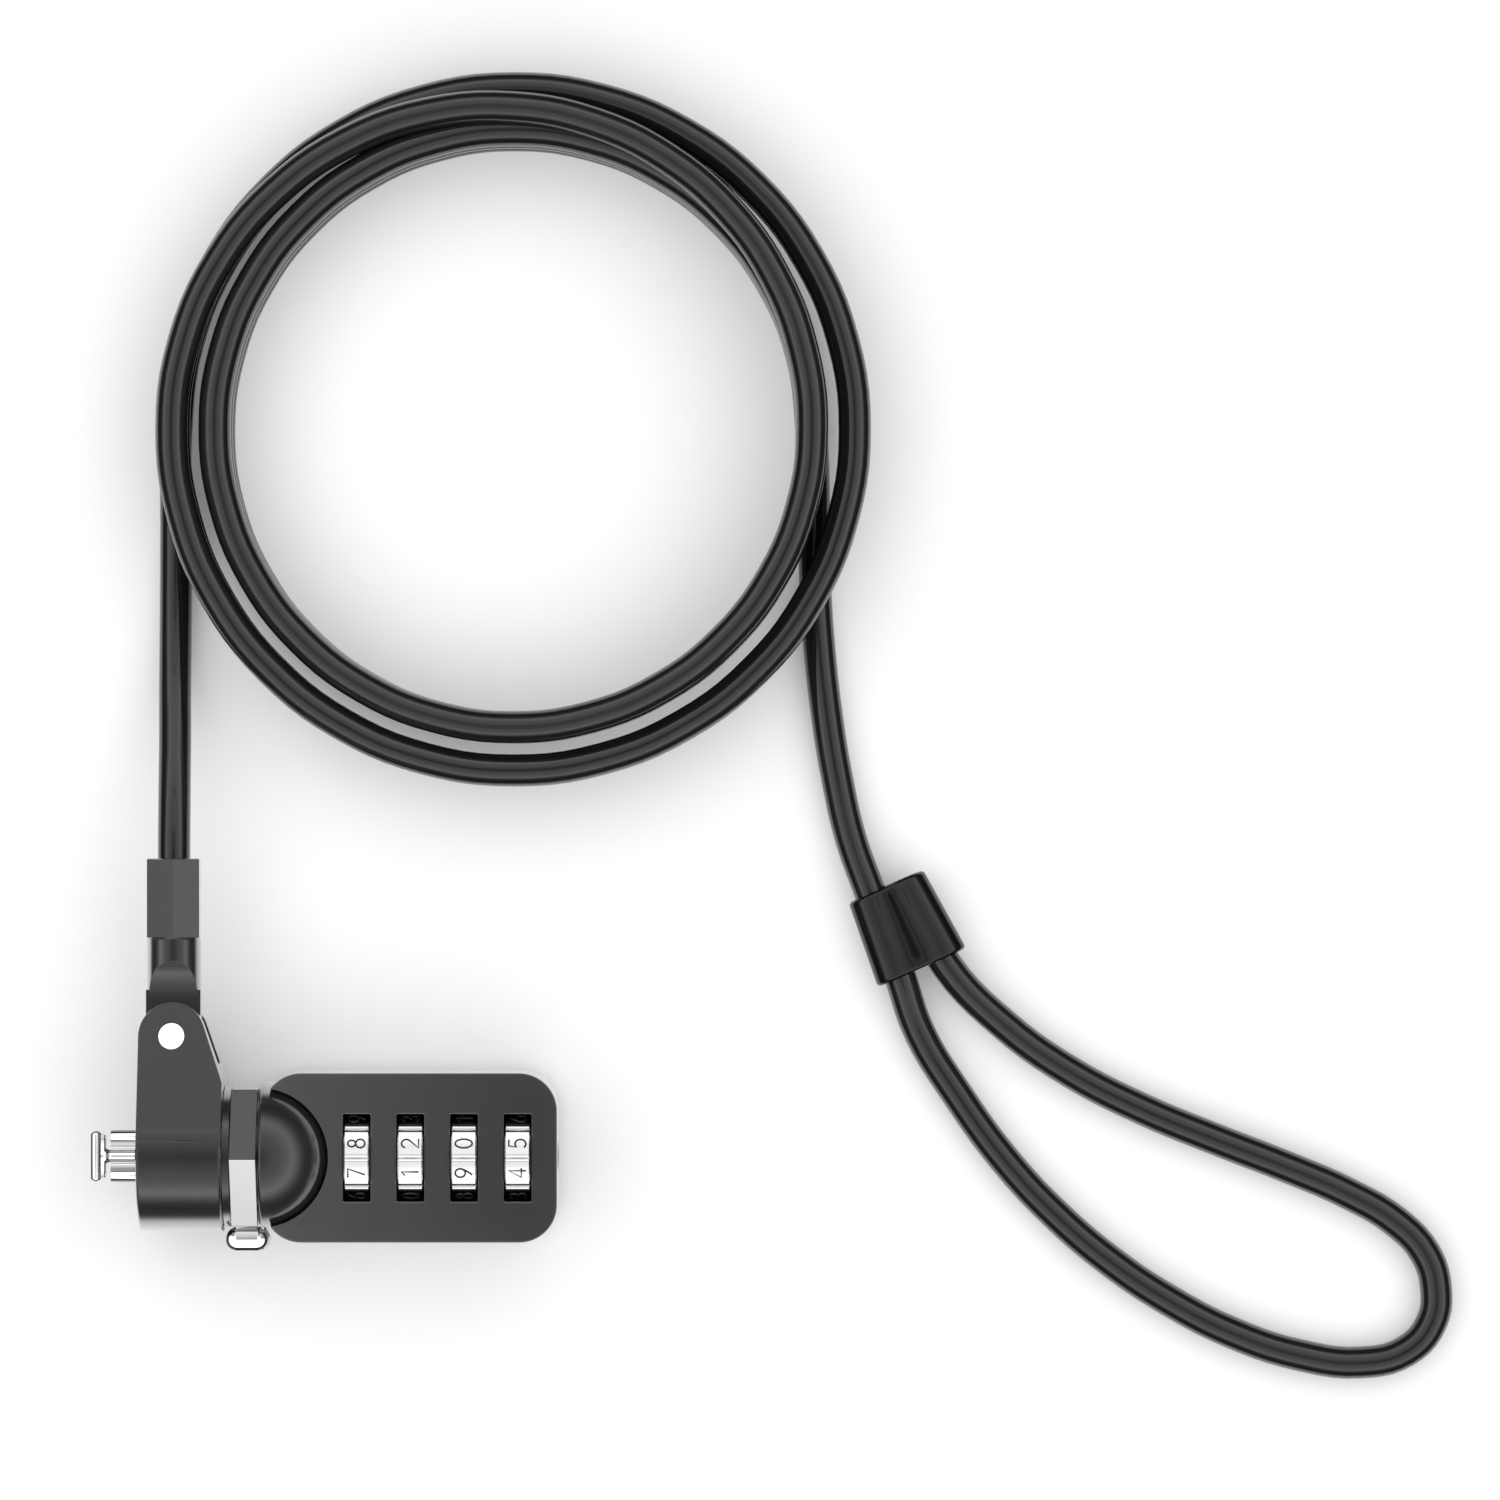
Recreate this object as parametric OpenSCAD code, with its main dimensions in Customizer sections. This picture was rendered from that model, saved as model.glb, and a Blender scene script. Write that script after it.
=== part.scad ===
// Four-wheel combination cable lock for a laptop.
// The lock's own axis is X: the T-bar points to -X and the dial housing runs to +X.
// The origin is the centre of the yoke's front face, +Z is up from the table.
// about_x() draws its children with their Z along X, so their X and Y are the part's Y and Z.

/* [Cable] */
// Diameter of the cable over its jacket
cable_d = 4.3; // [3.6:0.1:5.2]
// Centre line radius of the coil's outer column
coil_outer_r = 45.1; // [42:0.1:56]
// Centre line radius of the coil's inner column
coil_inner_r = 39.4; // [32:0.1:47]
// Height of one layer in the coil, in cable diameters
coil_layer = 1.05; // [1:0.01:1.2]

/* [Loop sleeve] */
// Length of the sleeve along the cable
sleeve_len = 11.8; // [9:0.1:15]
// Wall round the cable
sleeve_wall = 1.1; // [0.8:0.1:1.6]
// Distance between the two cable lanes at the loop end
sleeve_spread = 6.4; // [5.6:0.1:7.6]

/* [Cable fitting] */
// Radius of the round stem and of the eye
stem_r = 3.6; // [3:0.1:4.2]
// From the rivet to the end of the round stem
stem_reach = 12.8; // [10.6:0.1:16]
// Radius of the cutter that mills the stem down to its tongue
mill_r = 8; // [6:0.5:9]
// Hexagon across flats of the crimp
crimp_af = 6.9; // [6.4:0.1:8.4]
// Length of the crimp
crimp_len = 10.5; // [8:0.1:14]

/* [Yoke] */
// Radius of the yoke's barrel and of the dome
head_r = 10; // [8.6:0.1:12]
// Length of the barrel
yoke_len = 11.15; // [9.6:0.05:13.2]
// Wall of the barrel round the core's journal
yoke_wall = 2.5; // [2:0.1:3]
// Height of the rivet over the lock's axis
ear_rise = 16; // [15:0.1:19.2]
// Radius of the ear's tip
ear_tip_r = 4.4; // [4:0.1:5]
// Angle between an ear's outer face and the middle plane
ear_taper = 19; // [15:1:20]
// Gap between the two ears
fork_gap = 3.8; // [3.4:0.1:4.4]
// Radius of the rivet's shank
rivet_r = 1.15; // [0.9:0.05:1.4]
// Radius of the rivet's head
rivet_head_r = 1.7; // [1.5:0.05:2]

/* [T-bar] */
// Length of the T-head, across the slot's long side
head_len = 6.6; // [5.6:0.1:6.8]
// Width of the T-head, across the slot's short side
head_w = 2.7; // [2.2:0.1:2.8]
// Thickness of the T-head
head_t = 1.9; // [1.4:0.1:2.4]
// Rounding of the T-head's corners
head_corner = 0.45; // [0.2:0.05:0.8]
// From the yoke's face to the T-head's front
bar_reach = 6.5; // [5.6:0.1:8]
// Radius of the stem
bar_stem_r = 0.75; // [0.6:0.05:0.9]
// Radius of a guide post
post_r = 0.85; // [0.7:0.05:1]
// Distance between the two guide posts' axes
post_pitch = 5.1; // [4.6:0.1:5.2]
// Length of a guide post in front of the yoke
post_len = 3.95; // [3:0.05:4.5]

/* [Turn ring] */
// Hexagon across flats of the ring
ring_af = 18; // [17:0.1:21.6]
// Width of the ring
ring_w = 3.5; // [3:0.1:4.2]
// Wall of the ring between its bore and a flat
ring_wall = 1.6; // [1.4:0.1:2]
// Thickness of the lever's cladding
lever_t = 0.8; // [0.5:0.1:0.9]
// Length of the thumb knob
knob_len = 5.6; // [4.6:0.1:6]
// How far the thumb knob stands out
knob_out = 2.8; // [2.2:0.1:3.6]
// Thickness of the thumb knob
knob_t = 4; // [3.2:0.1:4.8]
// Angle the lever turns from open to locked
turn_angle = 90; // [80:1:100]
// Radius of the turn shaft
shaft_r = 2; // [1.8:0.05:2.2]
// Travel of the locking spindle over that turn
spindle_travel = 0.8; // [0.5:0.1:0.9]

/* [Housing] */
// Width of the housing
house_w = 22.3; // [21.8:0.1:26.8]
// Height of the housing's top face over the axis
house_up = 5.5; // [5.2:0.1:6.6]
// Corner radius of the housing
house_corner = 5; // [3:0.1:6]
// Side wall
house_wall = 1.4; // [1.1:0.1:1.6]
// Top plate
top_t = 1.2; // [0.8:0.1:1.4]
// Base plate
base_t = 0.9; // [0.7:0.1:1.3]
// Length of a wheel window
window_len = 11.6; // [10.6:0.1:12.6]
// Width of a wheel window
window_w = 3.7; // [3.5:0.1:4.2]

/* [Number wheels] */
// Distance from wheel to wheel
wheel_pitch = 7.05; // [6.6:0.05:8.4]
// Width of a wheel's rim
wheel_w = 3.3; // [2.8:0.1:3.4]
// How far a wheel stands over the housing's top face
wheel_proud = 1.1; // [0.8:0.1:1.4]
// Radius of the locking spindle
spindle_r = 1.8; // [1.5:0.05:1.9]

/* [Hidden] */
$fn = 64;

run = 0.05;          // radial running clearance
gap = 0.2;           // axial clearance between moving pieces
far = 60;            // longer than any cut needs
cable_r = cable_d / 2;

// Stations along the lock's axis
flange_x = yoke_len + 0.1;
flange_w = 0.9;
ring_x = flange_x + flange_w + 0.1;
dome_x = ring_x + ring_w + gap;
dome_c = dome_x - gap;
dome_bore_end = dome_x + 4.2;
core_end = dome_c + 8.4;
house_x0 = dome_c + 0.7;
wheel_1_x = dome_c + 13;
house_x1 = wheel_1_x + 3 * wheel_pitch + 5.2;
wheel_x = [for (i = [0:3]) wheel_1_x + i * wheel_pitch];

// Core
journal_r = head_r - yoke_wall - run;
nose_r = post_pitch / 2 + post_r + 1.2;
nose_end = 3.1;
pocket_depth = 1.6;
pocket_r = nose_r + 1.6;
seat_r = ring_af / 2 - ring_wall - run;
flange_r = ring_af / 2 + 0.3;
spigot_r = 5;
thread_r = 4;
cavity_r = 3;
cavity_x = dome_x + 1.7;
shaft_x = 1.7;

// Turn ring and lever
ring_corner_r = ring_af / 2 / cos(30);
pin_x = ring_x + ring_w / 2;
pin_r = 0.7;
pin_margin = asin(pin_r / shaft_r) + 4;
knob_in = max(ring_af / 2 + 0.6, head_r - 0.4);
knob_x0 = yoke_len + 0.1;
cam_x = cavity_x + 2.1;
finger_off = 1.3;
finger_r = 0.4;
cam_slope = atan(spindle_travel / finger_off);

// Housing and wheels
wheel_r = house_up + wheel_proud;
house_down = wheel_r + 0.3 + base_t;
parting_z = -house_down + base_t;
wall_x1 = house_x1 - house_wall;
hub_r = house_up - top_t - 0.3;
hub_len = 4.4;
fin_r = 2.9;
fin_w = 0.8;
fin_t = 1.2;
spacer_in_r = fin_r + gap;
spacer_out_r = hub_r + 0.15;
boss_r = 1.6;
boss_y = house_w / 2 - house_wall - 1.35;
boss_x = [wheel_x[0] - 3.4, house_x1 - 2.7];
screw_r = 0.65;
screw_head_r = 1.35;
reset_r = 2;
spindle_x0 = cam_x + 1.4;
spindle_x1 = wheel_x[3] + hub_len / 2 + 0.3;
plate_t = 0.7;
reset_flange_x = spindle_x1 + 1;
spring_x0 = spindle_x1 - 7;

// Table under the lock and the cable's place on it
table_z = -max(ring_corner_r, head_r);
coil_centre = [49.2, 96];
fork_half = fork_gap / 2;
tongue_t = fork_gap - 2 * gap;
ear_x = ear_tip_r;
fitting_end = ear_rise + stem_reach + crimp_len;
axis_h = -table_z;
floor_h = cable_r;
lane_h = cable_r + sleeve_wall + 0.05;

// Cable route: X, Y and the centre line's height over the table
lead_route = [
    [ear_x, fitting_end - 7, axis_h], [ear_x, fitting_end, axis_h], [ear_x, fitting_end + 4.5, axis_h - 0.35],
    [4.35, fitting_end + 10, axis_h - 1.7], [4.25, fitting_end + 16, axis_h - 3.9],
    [4.1, fitting_end + 22, floor_h + 2.2], [4.05, fitting_end + 28, floor_h + 0.7],
    [4.05, fitting_end + 34, floor_h], [4.1, 84, floor_h]];
tail_route = [
    [89.1, 76, floor_h], [89.6, 68, floor_h], [90.7, 58, floor_h], [92.1, 49.5, floor_h],
    [93.8, 42, floor_h + 0.5], [96.2, 35.2, lane_h], [98.2, 30, lane_h]];
loop_route = [
    [98.2, 30, lane_h], [100.3, 23.8, lane_h], [103, 16, floor_h + 0.2], [108, 7.8, floor_h],
    [114.4, -1, floor_h], [121.1, -8.2, floor_h], [128.5, -14.5, floor_h], [136.3, -19.7, floor_h],
    [144.7, -24, floor_h], [153.5, -26.9, floor_h], [161.6, -27.9, floor_h], [167.7, -26.4, floor_h],
    [171.1, -22.6, floor_h], [171.7, -17.8, floor_h], [170.2, -13.2, floor_h], [166.3, -9.1, floor_h],
    [159.8, -5.3, floor_h], [151.9, -1.9, floor_h], [142.4, 1.8, floor_h], [132.7, 5.8, floor_h],
    [123, 10.8, floor_h], [114.2, 17.1, floor_h + 0.4], [106.6, 25, lane_h], [102.6, 33.2, lane_h]];
sleeve_turn = -66;   // direction of the sleeve's axis, from +X
sleeve_at = [100.9, 30.1];

// ---- Functions ----
function on_table(route) = [for (p = route) [p[0], p[1], p[2] + table_z]];
function unit(v) = v / norm(v);
function tangent(path, i) =
    unit(path[min(i + 1, len(path) - 1)] - path[max(i - 1, 0)]);
function ring_of(centre, along, ref, r, sides) =
    let (side = unit(cross(along, ref)), up = cross(side, along))
    [for (k = [0:sides - 1]) centre + r * (cos(360 * k / sides) * side + sin(360 * k / sides) * up)];
function tube_skin(path, ref, r, sides) =
    [for (i = [0:len(path) - 1]) for (p = ring_of(path[i], tangent(path, i), ref, r, sides)) p];
function tube_faces(rings, sides) = concat(
    [for (i = [0:rings - 2]) for (k = [0:sides - 1])
        [i * sides + k, i * sides + (k + 1) % sides, (i + 1) * sides + (k + 1) % sides, (i + 1) * sides + k]],
    [[for (k = [0:sides - 1]) sides - 1 - k]],
    [[for (k = [0:sides - 1]) (rings - 1) * sides + k]]);
function arc(centre, r, from, to, steps) =
    [for (i = [0:steps]) let (a = from + (to - from) * i / steps) centre + r * [cos(a), sin(a)]];
function rounded_box(x0, x1, half, r) = concat(
    arc([x1 - r, half - r], r, 0, 90, 10), arc([x0 + r, half - r], r, 90, 180, 10),
    arc([x0 + r, r - half], r, 180, 270, 10), arc([x1 - r, r - half], r, 270, 360, 10));
function pill(x0, x1, y0, y1) =
    let (r = abs(y1 - y0) / 2, y = (y0 + y1) / 2)
    concat(arc([x0 + r, y], r, 90, 270, 16), arc([x1 - r, y], r, -90, 90, 16));
function ear_outline() =
    let (shoulder = [yoke_len, head_r], tip = [ear_x, ear_rise], d = tip - shoulder,
        start = atan2(d[1], d[0]) - asin(ear_tip_r / norm(d)) - 90)
    concat([[0, 0], [yoke_len, 0], shoulder], arc(tip, ear_tip_r, start, 180, 20));
function wedge_half(y, proud) = (head_r - 0.04 + proud) / cos(ear_taper) - y * tan(ear_taper);
function wedge(proud) =
    let (y0 = head_r * sin(ear_taper) - 1, y1 = ear_rise + ear_tip_r + 0.5)
    [[0, -wedge_half(y0, proud)], [y0, -wedge_half(y0, proud)], [y1, -wedge_half(y1, proud)],
        [y1, wedge_half(y1, proud)], [y0, wedge_half(y0, proud)], [0, wedge_half(y0, proud)]];

// ---- Placing helpers ----
module about_x(x = 0) {
    translate([x, 0, 0]) rotate([90, 0, 90]) children();
}
module about_y(x, y) {
    translate([x, y, 0]) rotate([-90, 0, 0]) children();
}
module disc_x(x0, x1, r) {
    about_x(x0) cylinder(h = x1 - x0, r = r);
}
module tube_x(x0, x1, r_in, r_out) {
    difference() {
        disc_x(x0, x1, r_out);
        disc_x(x0 - 1, x1 + 1, r_in);
    }
}
module split_ring(x0, x1, r_in, r_out, mouth) {
    difference() {
        tube_x(x0, x1, r_in, r_out);
        about_x(x0 - 1) linear_extrude(x1 - x0 + 2)
            polygon([[0, 0], [far, -far * tan(mouth / 2)], [far, far * tan(mouth / 2)]]);
    }
}
module cable_tube(route) {
    path = on_table(route);
    polyhedron(tube_skin(path, [0, 0, 1], cable_r, 10), tube_faces(len(path), 10));
}

// ---- Cable end ----
module cable_fitting() {
    color("#1b1b1c") difference() {
        union() {
            translate([0, 0, -tongue_t / 2]) linear_extrude(tongue_t)
                polygon(concat(arc([ear_x, ear_rise], stem_r, 180, 360, 24),
                    [[ear_x + stem_r, ear_rise + 6], [ear_x - stem_r, ear_rise + 6]]));
            difference() {
                about_y(ear_x, ear_rise + ear_tip_r) cylinder(h = stem_reach - ear_tip_r, r = stem_r);
                for (s = [-1, 1]) {
                    translate([ear_x - stem_r - 1, ear_rise, s > 0 ? tongue_t / 2 : -far - tongue_t / 2])
                        cube([2 * stem_r + 2, ear_tip_r + 0.3, far]);
                    mill_z = s * (tongue_t / 2 + mill_r - 0.02);
                    translate([ear_x - stem_r - 1, ear_rise + ear_tip_r + 0.2, mill_z])
                        rotate([0, 90, 0]) cylinder(h = 2 * stem_r + 2, r = mill_r);
                }
            }
            about_y(ear_x, ear_rise + stem_reach) rotate([0, 0, 30])
                cylinder(h = crimp_len, r = crimp_af / 2 / cos(30), $fn = 6);
        }
        translate([ear_x, ear_rise, -far / 2]) cylinder(h = far, r = rivet_r + run);
        about_y(ear_x, fitting_end - 8) cylinder(h = 9, r = cable_r + run);
    }
}
module cable_lead() {
    color("#232324") cable_tube(lead_route);
}
module cable_coil() {
    r0 = coil_inner_r - cable_r;
    r1 = coil_outer_r + cable_r;
    h = 3 * coil_layer * cable_d + cable_d;
    c = cable_r / 2;
    color("#232324") translate([coil_centre[0], coil_centre[1], table_z]) rotate_extrude($fn = 96)
        polygon([[r0 + c, 0], [r1 - c, 0], [r1, c], [r1, h - c],
            [r1 - c, h], [r0 + c, h], [r0, h - c], [r0, c]]);
}
module cable_tail() {
    color("#232324") cable_tube(tail_route);
}
module cable_loop() {
    color("#232324") cable_tube(loop_route);
}
module lane_disc(x, y, r) {
    translate([x, y, 0]) rotate([0, 90, 0]) cylinder(h = 0.1, r = r, $fn = 32);
}
module sleeve_lanes(r, length) {
    narrow = cable_d + 0.1;
    hull() for (s = [-1, 1]) {
        lane_disc(-length / 2, s * narrow / 2, r);
        lane_disc(length / 2 - 0.1, s * sleeve_spread / 2, r);
    }
}
module loop_sleeve() {
    color("#101011") translate([sleeve_at[0], sleeve_at[1], table_z + cable_r + sleeve_wall])
        rotate([0, 0, sleeve_turn]) difference() {
            sleeve_lanes(cable_r + sleeve_wall, sleeve_len);
            sleeve_lanes(cable_r + run, sleeve_len + 1);
        }
}

// ---- Yoke ----
module yoke() {
    chamfer = 0.4;
    color("#242425") difference() {
        union() {
            about_x() rotate_extrude() polygon([[0, 0], [head_r - chamfer, 0], [head_r, chamfer],
                [head_r, yoke_len - chamfer], [head_r - chamfer, yoke_len], [0, yoke_len]]);
            intersection() {
                translate([0, 0, -head_r]) linear_extrude(2 * head_r) polygon(ear_outline());
                about_x(-1) linear_extrude(yoke_len + 2) polygon(wedge(0));
            }
        }
        translate([-1, ear_rise - stem_r - gap, -fork_half]) cube([yoke_len + 2, far, fork_gap]);
        disc_x(-1, yoke_len + 1, nose_r + run);
        disc_x(-1, pocket_depth, pocket_r);
        disc_x(nose_end - 0.1, yoke_len + 1, journal_r + run);
        translate([ear_x, ear_rise, -far / 2]) cylinder(h = far, r = rivet_r);
        for (s = [-1, 1]) translate([ear_x, ear_rise, s > 0 ? rivet_seat_z() : -far - rivet_seat_z()])
            cylinder(h = far, r = rivet_head_r + 0.03);
    }
}
function rivet_seat_z() = wedge_half(ear_rise + rivet_head_r, 0) - 0.4;
module hinge_rivet() {
    color("#d9d9da") intersection() {
        union() {
            translate([ear_x, ear_rise, -far / 2]) cylinder(h = far, r = rivet_r);
            for (s = [-1, 1]) translate([ear_x, ear_rise, s > 0 ? rivet_seat_z() : -far - rivet_seat_z()])
                cylinder(h = far, r = rivet_head_r);
        }
        about_x(-1) linear_extrude(yoke_len + 2) polygon(wedge(0.1));
    }
}

// ---- Core of the lock ----
module core_barrel() {
    groove = 0.4;
    color("#2a2a2b") difference() {
        about_x() rotate_extrude() polygon([
            [0, 0.1], [nose_r, 0.1], [nose_r, 0.55], [nose_r - groove, 0.55], [nose_r - groove, 1.25],
            [nose_r, 1.25], [nose_r, nose_end], [journal_r, nose_end], [journal_r, flange_x],
            [flange_r, flange_x], [flange_r, flange_x + flange_w], [seat_r, flange_x + flange_w],
            [seat_r, dome_x], [spigot_r, dome_x], [spigot_r, dome_bore_end], [thread_r, dome_bore_end],
            [thread_r, core_end], [0, core_end]]);
        disc_x(-1, shaft_x + 1, bar_stem_r + run);
        disc_x(shaft_x - 0.1, core_end + 1, shaft_r + run);
        disc_x(cavity_x, core_end + 1, cavity_r);
        for (s = [-1, 1]) translate([0, s * post_pitch / 2, 0]) disc_x(-1, shaft_x - 0.4, post_r + 0.01);
        about_x(pin_x - pin_r - 0.1) rotate([0, 0, 180 - turn_angle - pin_margin])
            rotate_extrude(angle = turn_angle + 2 * pin_margin)
                translate([shaft_r - 0.3, 0]) square([seat_r, 2 * pin_r + 0.2]);
    }
}
module guide_posts() {
    web_in = bar_stem_r + gap;
    color("#e8e8ea") for (s = [-1, 1]) {
        translate([0, s * post_pitch / 2, 0]) disc_x(-post_len, shaft_x - 0.5, post_r);
        translate([-post_len, s > 0 ? web_in : -post_pitch / 2, -0.6])
            cube([post_len, post_pitch / 2 - web_in, 1.2]);
    }
}
module nose_circlip() {
    color("#8d8f92") split_ring(0.6, 1.2, nose_r - 0.35, nose_r + 1.2, 50);
}
module swivel_washer() {
    color("#b08d57") tube_x(1.3, pocket_depth - 0.02, nose_r + 0.08, nose_r + 1.4);
}
module dome_collar() {
    rim = 0.5;
    web_end = dome_bore_end + 1.5;
    color("#161617") difference() {
        intersection() {
            translate([dome_c, 0, 0]) sphere(r = head_r, $fn = 96);
            about_x(dome_x) rotate_extrude() polygon(concat(
                [[0, 0], [head_r - rim, 0]], arc([head_r - rim, rim], rim, -90, 0, 8),
                [[head_r, 8.2], [0, 8.2]]));
        }
        disc_x(dome_x - 1, dome_bore_end, spigot_r + 0.02);
        disc_x(dome_x - 1, web_end + 1, thread_r + 0.02);
        disc_x(web_end, core_end + 2, thread_r + 0.75);
    }
}
module core_nut() {
    nut_x = dome_bore_end + 1.52;
    color("#b08d57") difference() {
        about_x(nut_x) cylinder(h = 2, r = thread_r + 0.7, $fn = 6);
        disc_x(nut_x - 1, nut_x + 3, thread_r);
    }
}

// ---- Housing ----
module house_block(z0, z1, inset) {
    translate([0, 0, z0]) linear_extrude(z1 - z0)
        polygon(rounded_box(house_x0 + inset, house_x1 - inset, house_w / 2 - inset, house_corner - inset));
}
module dome_clear() {
    translate([dome_c, 0, 0]) sphere(r = head_r + 0.03, $fn = 96);
}
module housing_top() {
    bevel = 0.35;
    color("#2d2d2e") difference() {
        union() {
            difference() {
                union() {
                    house_block(parting_z, house_up - bevel, 0);
                    house_block(house_up - bevel - 0.1, house_up, bevel);
                }
                house_block(parting_z - 1, house_up - top_t, house_wall);
            }
            for (x = boss_x) for (s = [-1, 1]) translate([x, s * boss_y, parting_z])
                cylinder(h = house_up - top_t / 2 - parting_z, r = boss_r);
        }
        for (x = wheel_x) translate([x - window_w / 2, -window_len / 2, 0]) cube([window_w, window_len, far]);
        for (x = boss_x) for (s = [-1, 1]) translate([x, s * boss_y, parting_z - 1])
            cylinder(h = 5, r = screw_r + 0.02);
        disc_x(wall_x1 - 1, house_x1 + 1, reset_r + run);
        dome_clear();
        disc_x(house_x0 - 1, core_end + 0.1, thread_r + 0.8);
    }
}
module housing_base() {
    rib_z = parting_z + 0.9;
    rib_y = house_w / 2 - house_wall - 0.1;
    rib_t = 0.8;
    color("#242425") difference() {
        union() {
            house_block(-house_down, parting_z, 0);
            for (s = [-1, 1])
                translate([boss_x[0] + boss_r + 0.3, s > 0 ? rib_y - rib_t : -rib_y, parting_z - 0.1])
                    cube([boss_x[1] - boss_x[0] - 2 * boss_r - 0.6, rib_t, rib_z - parting_z + 0.1]);
        }
        for (x = boss_x) for (s = [-1, 1]) translate([x, s * boss_y, -house_down - 1]) {
            cylinder(h = 1.55, r = screw_head_r + 0.05);
            cylinder(h = 5, r = screw_r + 0.05);
        }
        dome_clear();
    }
}
module base_screws() {
    color("#6f7174") for (x = boss_x) for (s = [-1, 1]) translate([x, s * boss_y, -house_down])
        difference() {
            union() {
                cylinder(h = 0.5, r = screw_head_r);
                cylinder(h = 4, r = screw_r);
            }
            for (a = [0, 90]) rotate([0, 0, a]) translate([-0.8, -0.15, -1]) cube([1.6, 0.3, 1.3]);
        }
}
module spindle_plate() {
    half_y = wheel_r - 0.4;
    color("#b08d57") difference() {
        translate([spindle_x1 - 0.2, -half_y, parting_z + 0.05])
            cube([plate_t, 2 * half_y, house_up - top_t - parting_z - 0.1]);
        disc_x(spindle_x1 - 1, spindle_x1 + 2, spindle_r + run);
    }
}
module hub_spacers() {
    front = hub_len / 2 + 0.1;
    color("#8d8f92") {
        tube_x(wheel_x[0] - front - 1.5, wheel_x[0] - front, spacer_in_r, spacer_out_r);
        for (i = [0:2]) tube_x(wheel_x[i] + front, wheel_x[i + 1] - front, spacer_in_r, spacer_out_r);
    }
}
module wheel_detent_spring() {
    y = wheel_r + 0.15;
    color("#9fa2a6") {
        translate([wheel_x[0] - 1.4, y, -5.4]) cube([3 * wheel_pitch + 2.8, 0.25, 2]);
        for (x = wheel_x) translate([x - 1.2, y, -3.5]) cube([2.4, 0.25, 6]);
    }
}
module spindle_spring() {
    turns = 7;
    wire_r = 0.18;
    end_x = reset_flange_x - wire_r - 0.02;
    start_x = spring_x0 + wire_r + 0.02;
    path = [for (i = [0:turns * 10]) [start_x + (end_x - start_x) * i / (turns * 10),
        0.95 * cos(36 * i), 0.95 * sin(36 * i)]];
    color("#9fa2a6") polyhedron(tube_skin(path, [1, 0, 0], wire_r, 6), tube_faces(len(path), 6));
}

// ---- T-bar, shaft, ring and lever ----
module t_bar() {
    step_w = 0.6;
    step_in = 0.3;
    half = head_w / 2;
    color("#e8e8ea") {
        about_x(-bar_reach) linear_extrude(head_t - step_w)
            polygon(rounded_box(-head_len / 2, head_len / 2, half, head_corner));
        about_x(-bar_reach + head_t - step_w) linear_extrude(step_w)
            polygon(rounded_box(step_in - head_len / 2, head_len / 2 - step_in, half - step_in, head_corner));
        disc_x(-bar_reach + head_t - 0.05, pin_x - pin_r - 0.6, bar_stem_r);
    }
}
module turn_shaft() {
    tail_x = cam_x + 1.4;
    color("#9fa2a6") difference() {
        disc_x(shaft_x, tail_x, shaft_r);
        disc_x(shaft_x - 1, pin_x - pin_r - 0.5, bar_stem_r + 0.01);
        translate([cam_x, 0, 0]) rotate([0, 0, cam_slope])
            translate([0, -far / 2, -far / 2]) cube([far, far, far]);
        about_y(pin_x, -shaft_r - 1) cylinder(h = 2 * shaft_r + 0.65, r = pin_r + 0.01);
        tube_x(cavity_x + 0.05, cavity_x + 0.75, shaft_r - 0.3, shaft_r + 1);
    }
}
module hex_prism(af, x0, x1) {
    about_x(x0) linear_extrude(x1 - x0) rotate([0, 0, 30]) circle(r = af / 2 / cos(30), $fn = 6);
}
module ring_face_cuts() {
    for (s = [-1, 1]) flipped_z(s) translate([ring_x, 0, ring_af / 2 * tan(30)]) rotate([0, 10, 0])
        translate([-far, -far / 2, -far / 2]) cube([far, far, far]);
}
module flipped_z(s) {
    if (s > 0) children();
    else mirror([0, 0, 1]) children();
}
module lever_zone() {
    difference() {
        translate([ring_x - 1, -far, -far]) cube([ring_w + 2, far, 2 * far]);
        hex_prism(ring_af - 2 * lever_t, ring_x - 2, ring_x + ring_w + 2);
    }
}
module turn_ring() {
    color("#2a2a2b") difference() {
        hex_prism(ring_af, ring_x, ring_x + ring_w);
        disc_x(ring_x - 1, ring_x + ring_w + 1, seat_r + run);
        lever_zone();
        about_y(pin_x, -ring_af) cylinder(h = ring_af, r = pin_r + 0.01);
        ring_face_cuts();
    }
}
module turn_lever() {
    neck = 0.35;
    crown = 0.6;
    rim = 0.15;
    foot = 0.3;
    x1 = knob_x0 + knob_len;
    y0 = -knob_in - knob_out;
    color("#e8e8ea") {
        difference() {
            intersection() {
                hex_prism(ring_af, ring_x, ring_x + ring_w);
                lever_zone();
            }
            ring_face_cuts();
        }
        translate([ring_x + neck, -knob_in - 0.4, -knob_t / 2 + neck])
            cube([ring_w - 2 * neck, knob_in + 0.4 - ring_af / 2 + 0.3, knob_t - 2 * neck]);
        difference() {
            union() {
                translate([0, 0, -knob_t / 2]) linear_extrude(knob_t - crown)
                    polygon(pill(knob_x0, x1, y0, -knob_in));
                translate([0, 0, -knob_t / 2]) linear_extrude(knob_t)
                    polygon(pill(knob_x0 + crown, x1 - crown, y0 + crown, -knob_in - crown));
                translate([0, 0, -knob_t / 2 - foot]) linear_extrude(foot + gap)
                    polygon(pill(knob_x0, x1 + rim, y0 - rim, -knob_in + rim));
            }
            disc_x(dome_c, x1 + 1, head_r + gap / 2);
        }
    }
}
module drive_pin() {
    color("#9fa2a6") about_y(pin_x, -ring_af / 2 + lever_t + 0.05)
        cylinder(h = ring_af / 2 - lever_t + shaft_r - 0.5, r = pin_r);
}
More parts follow.
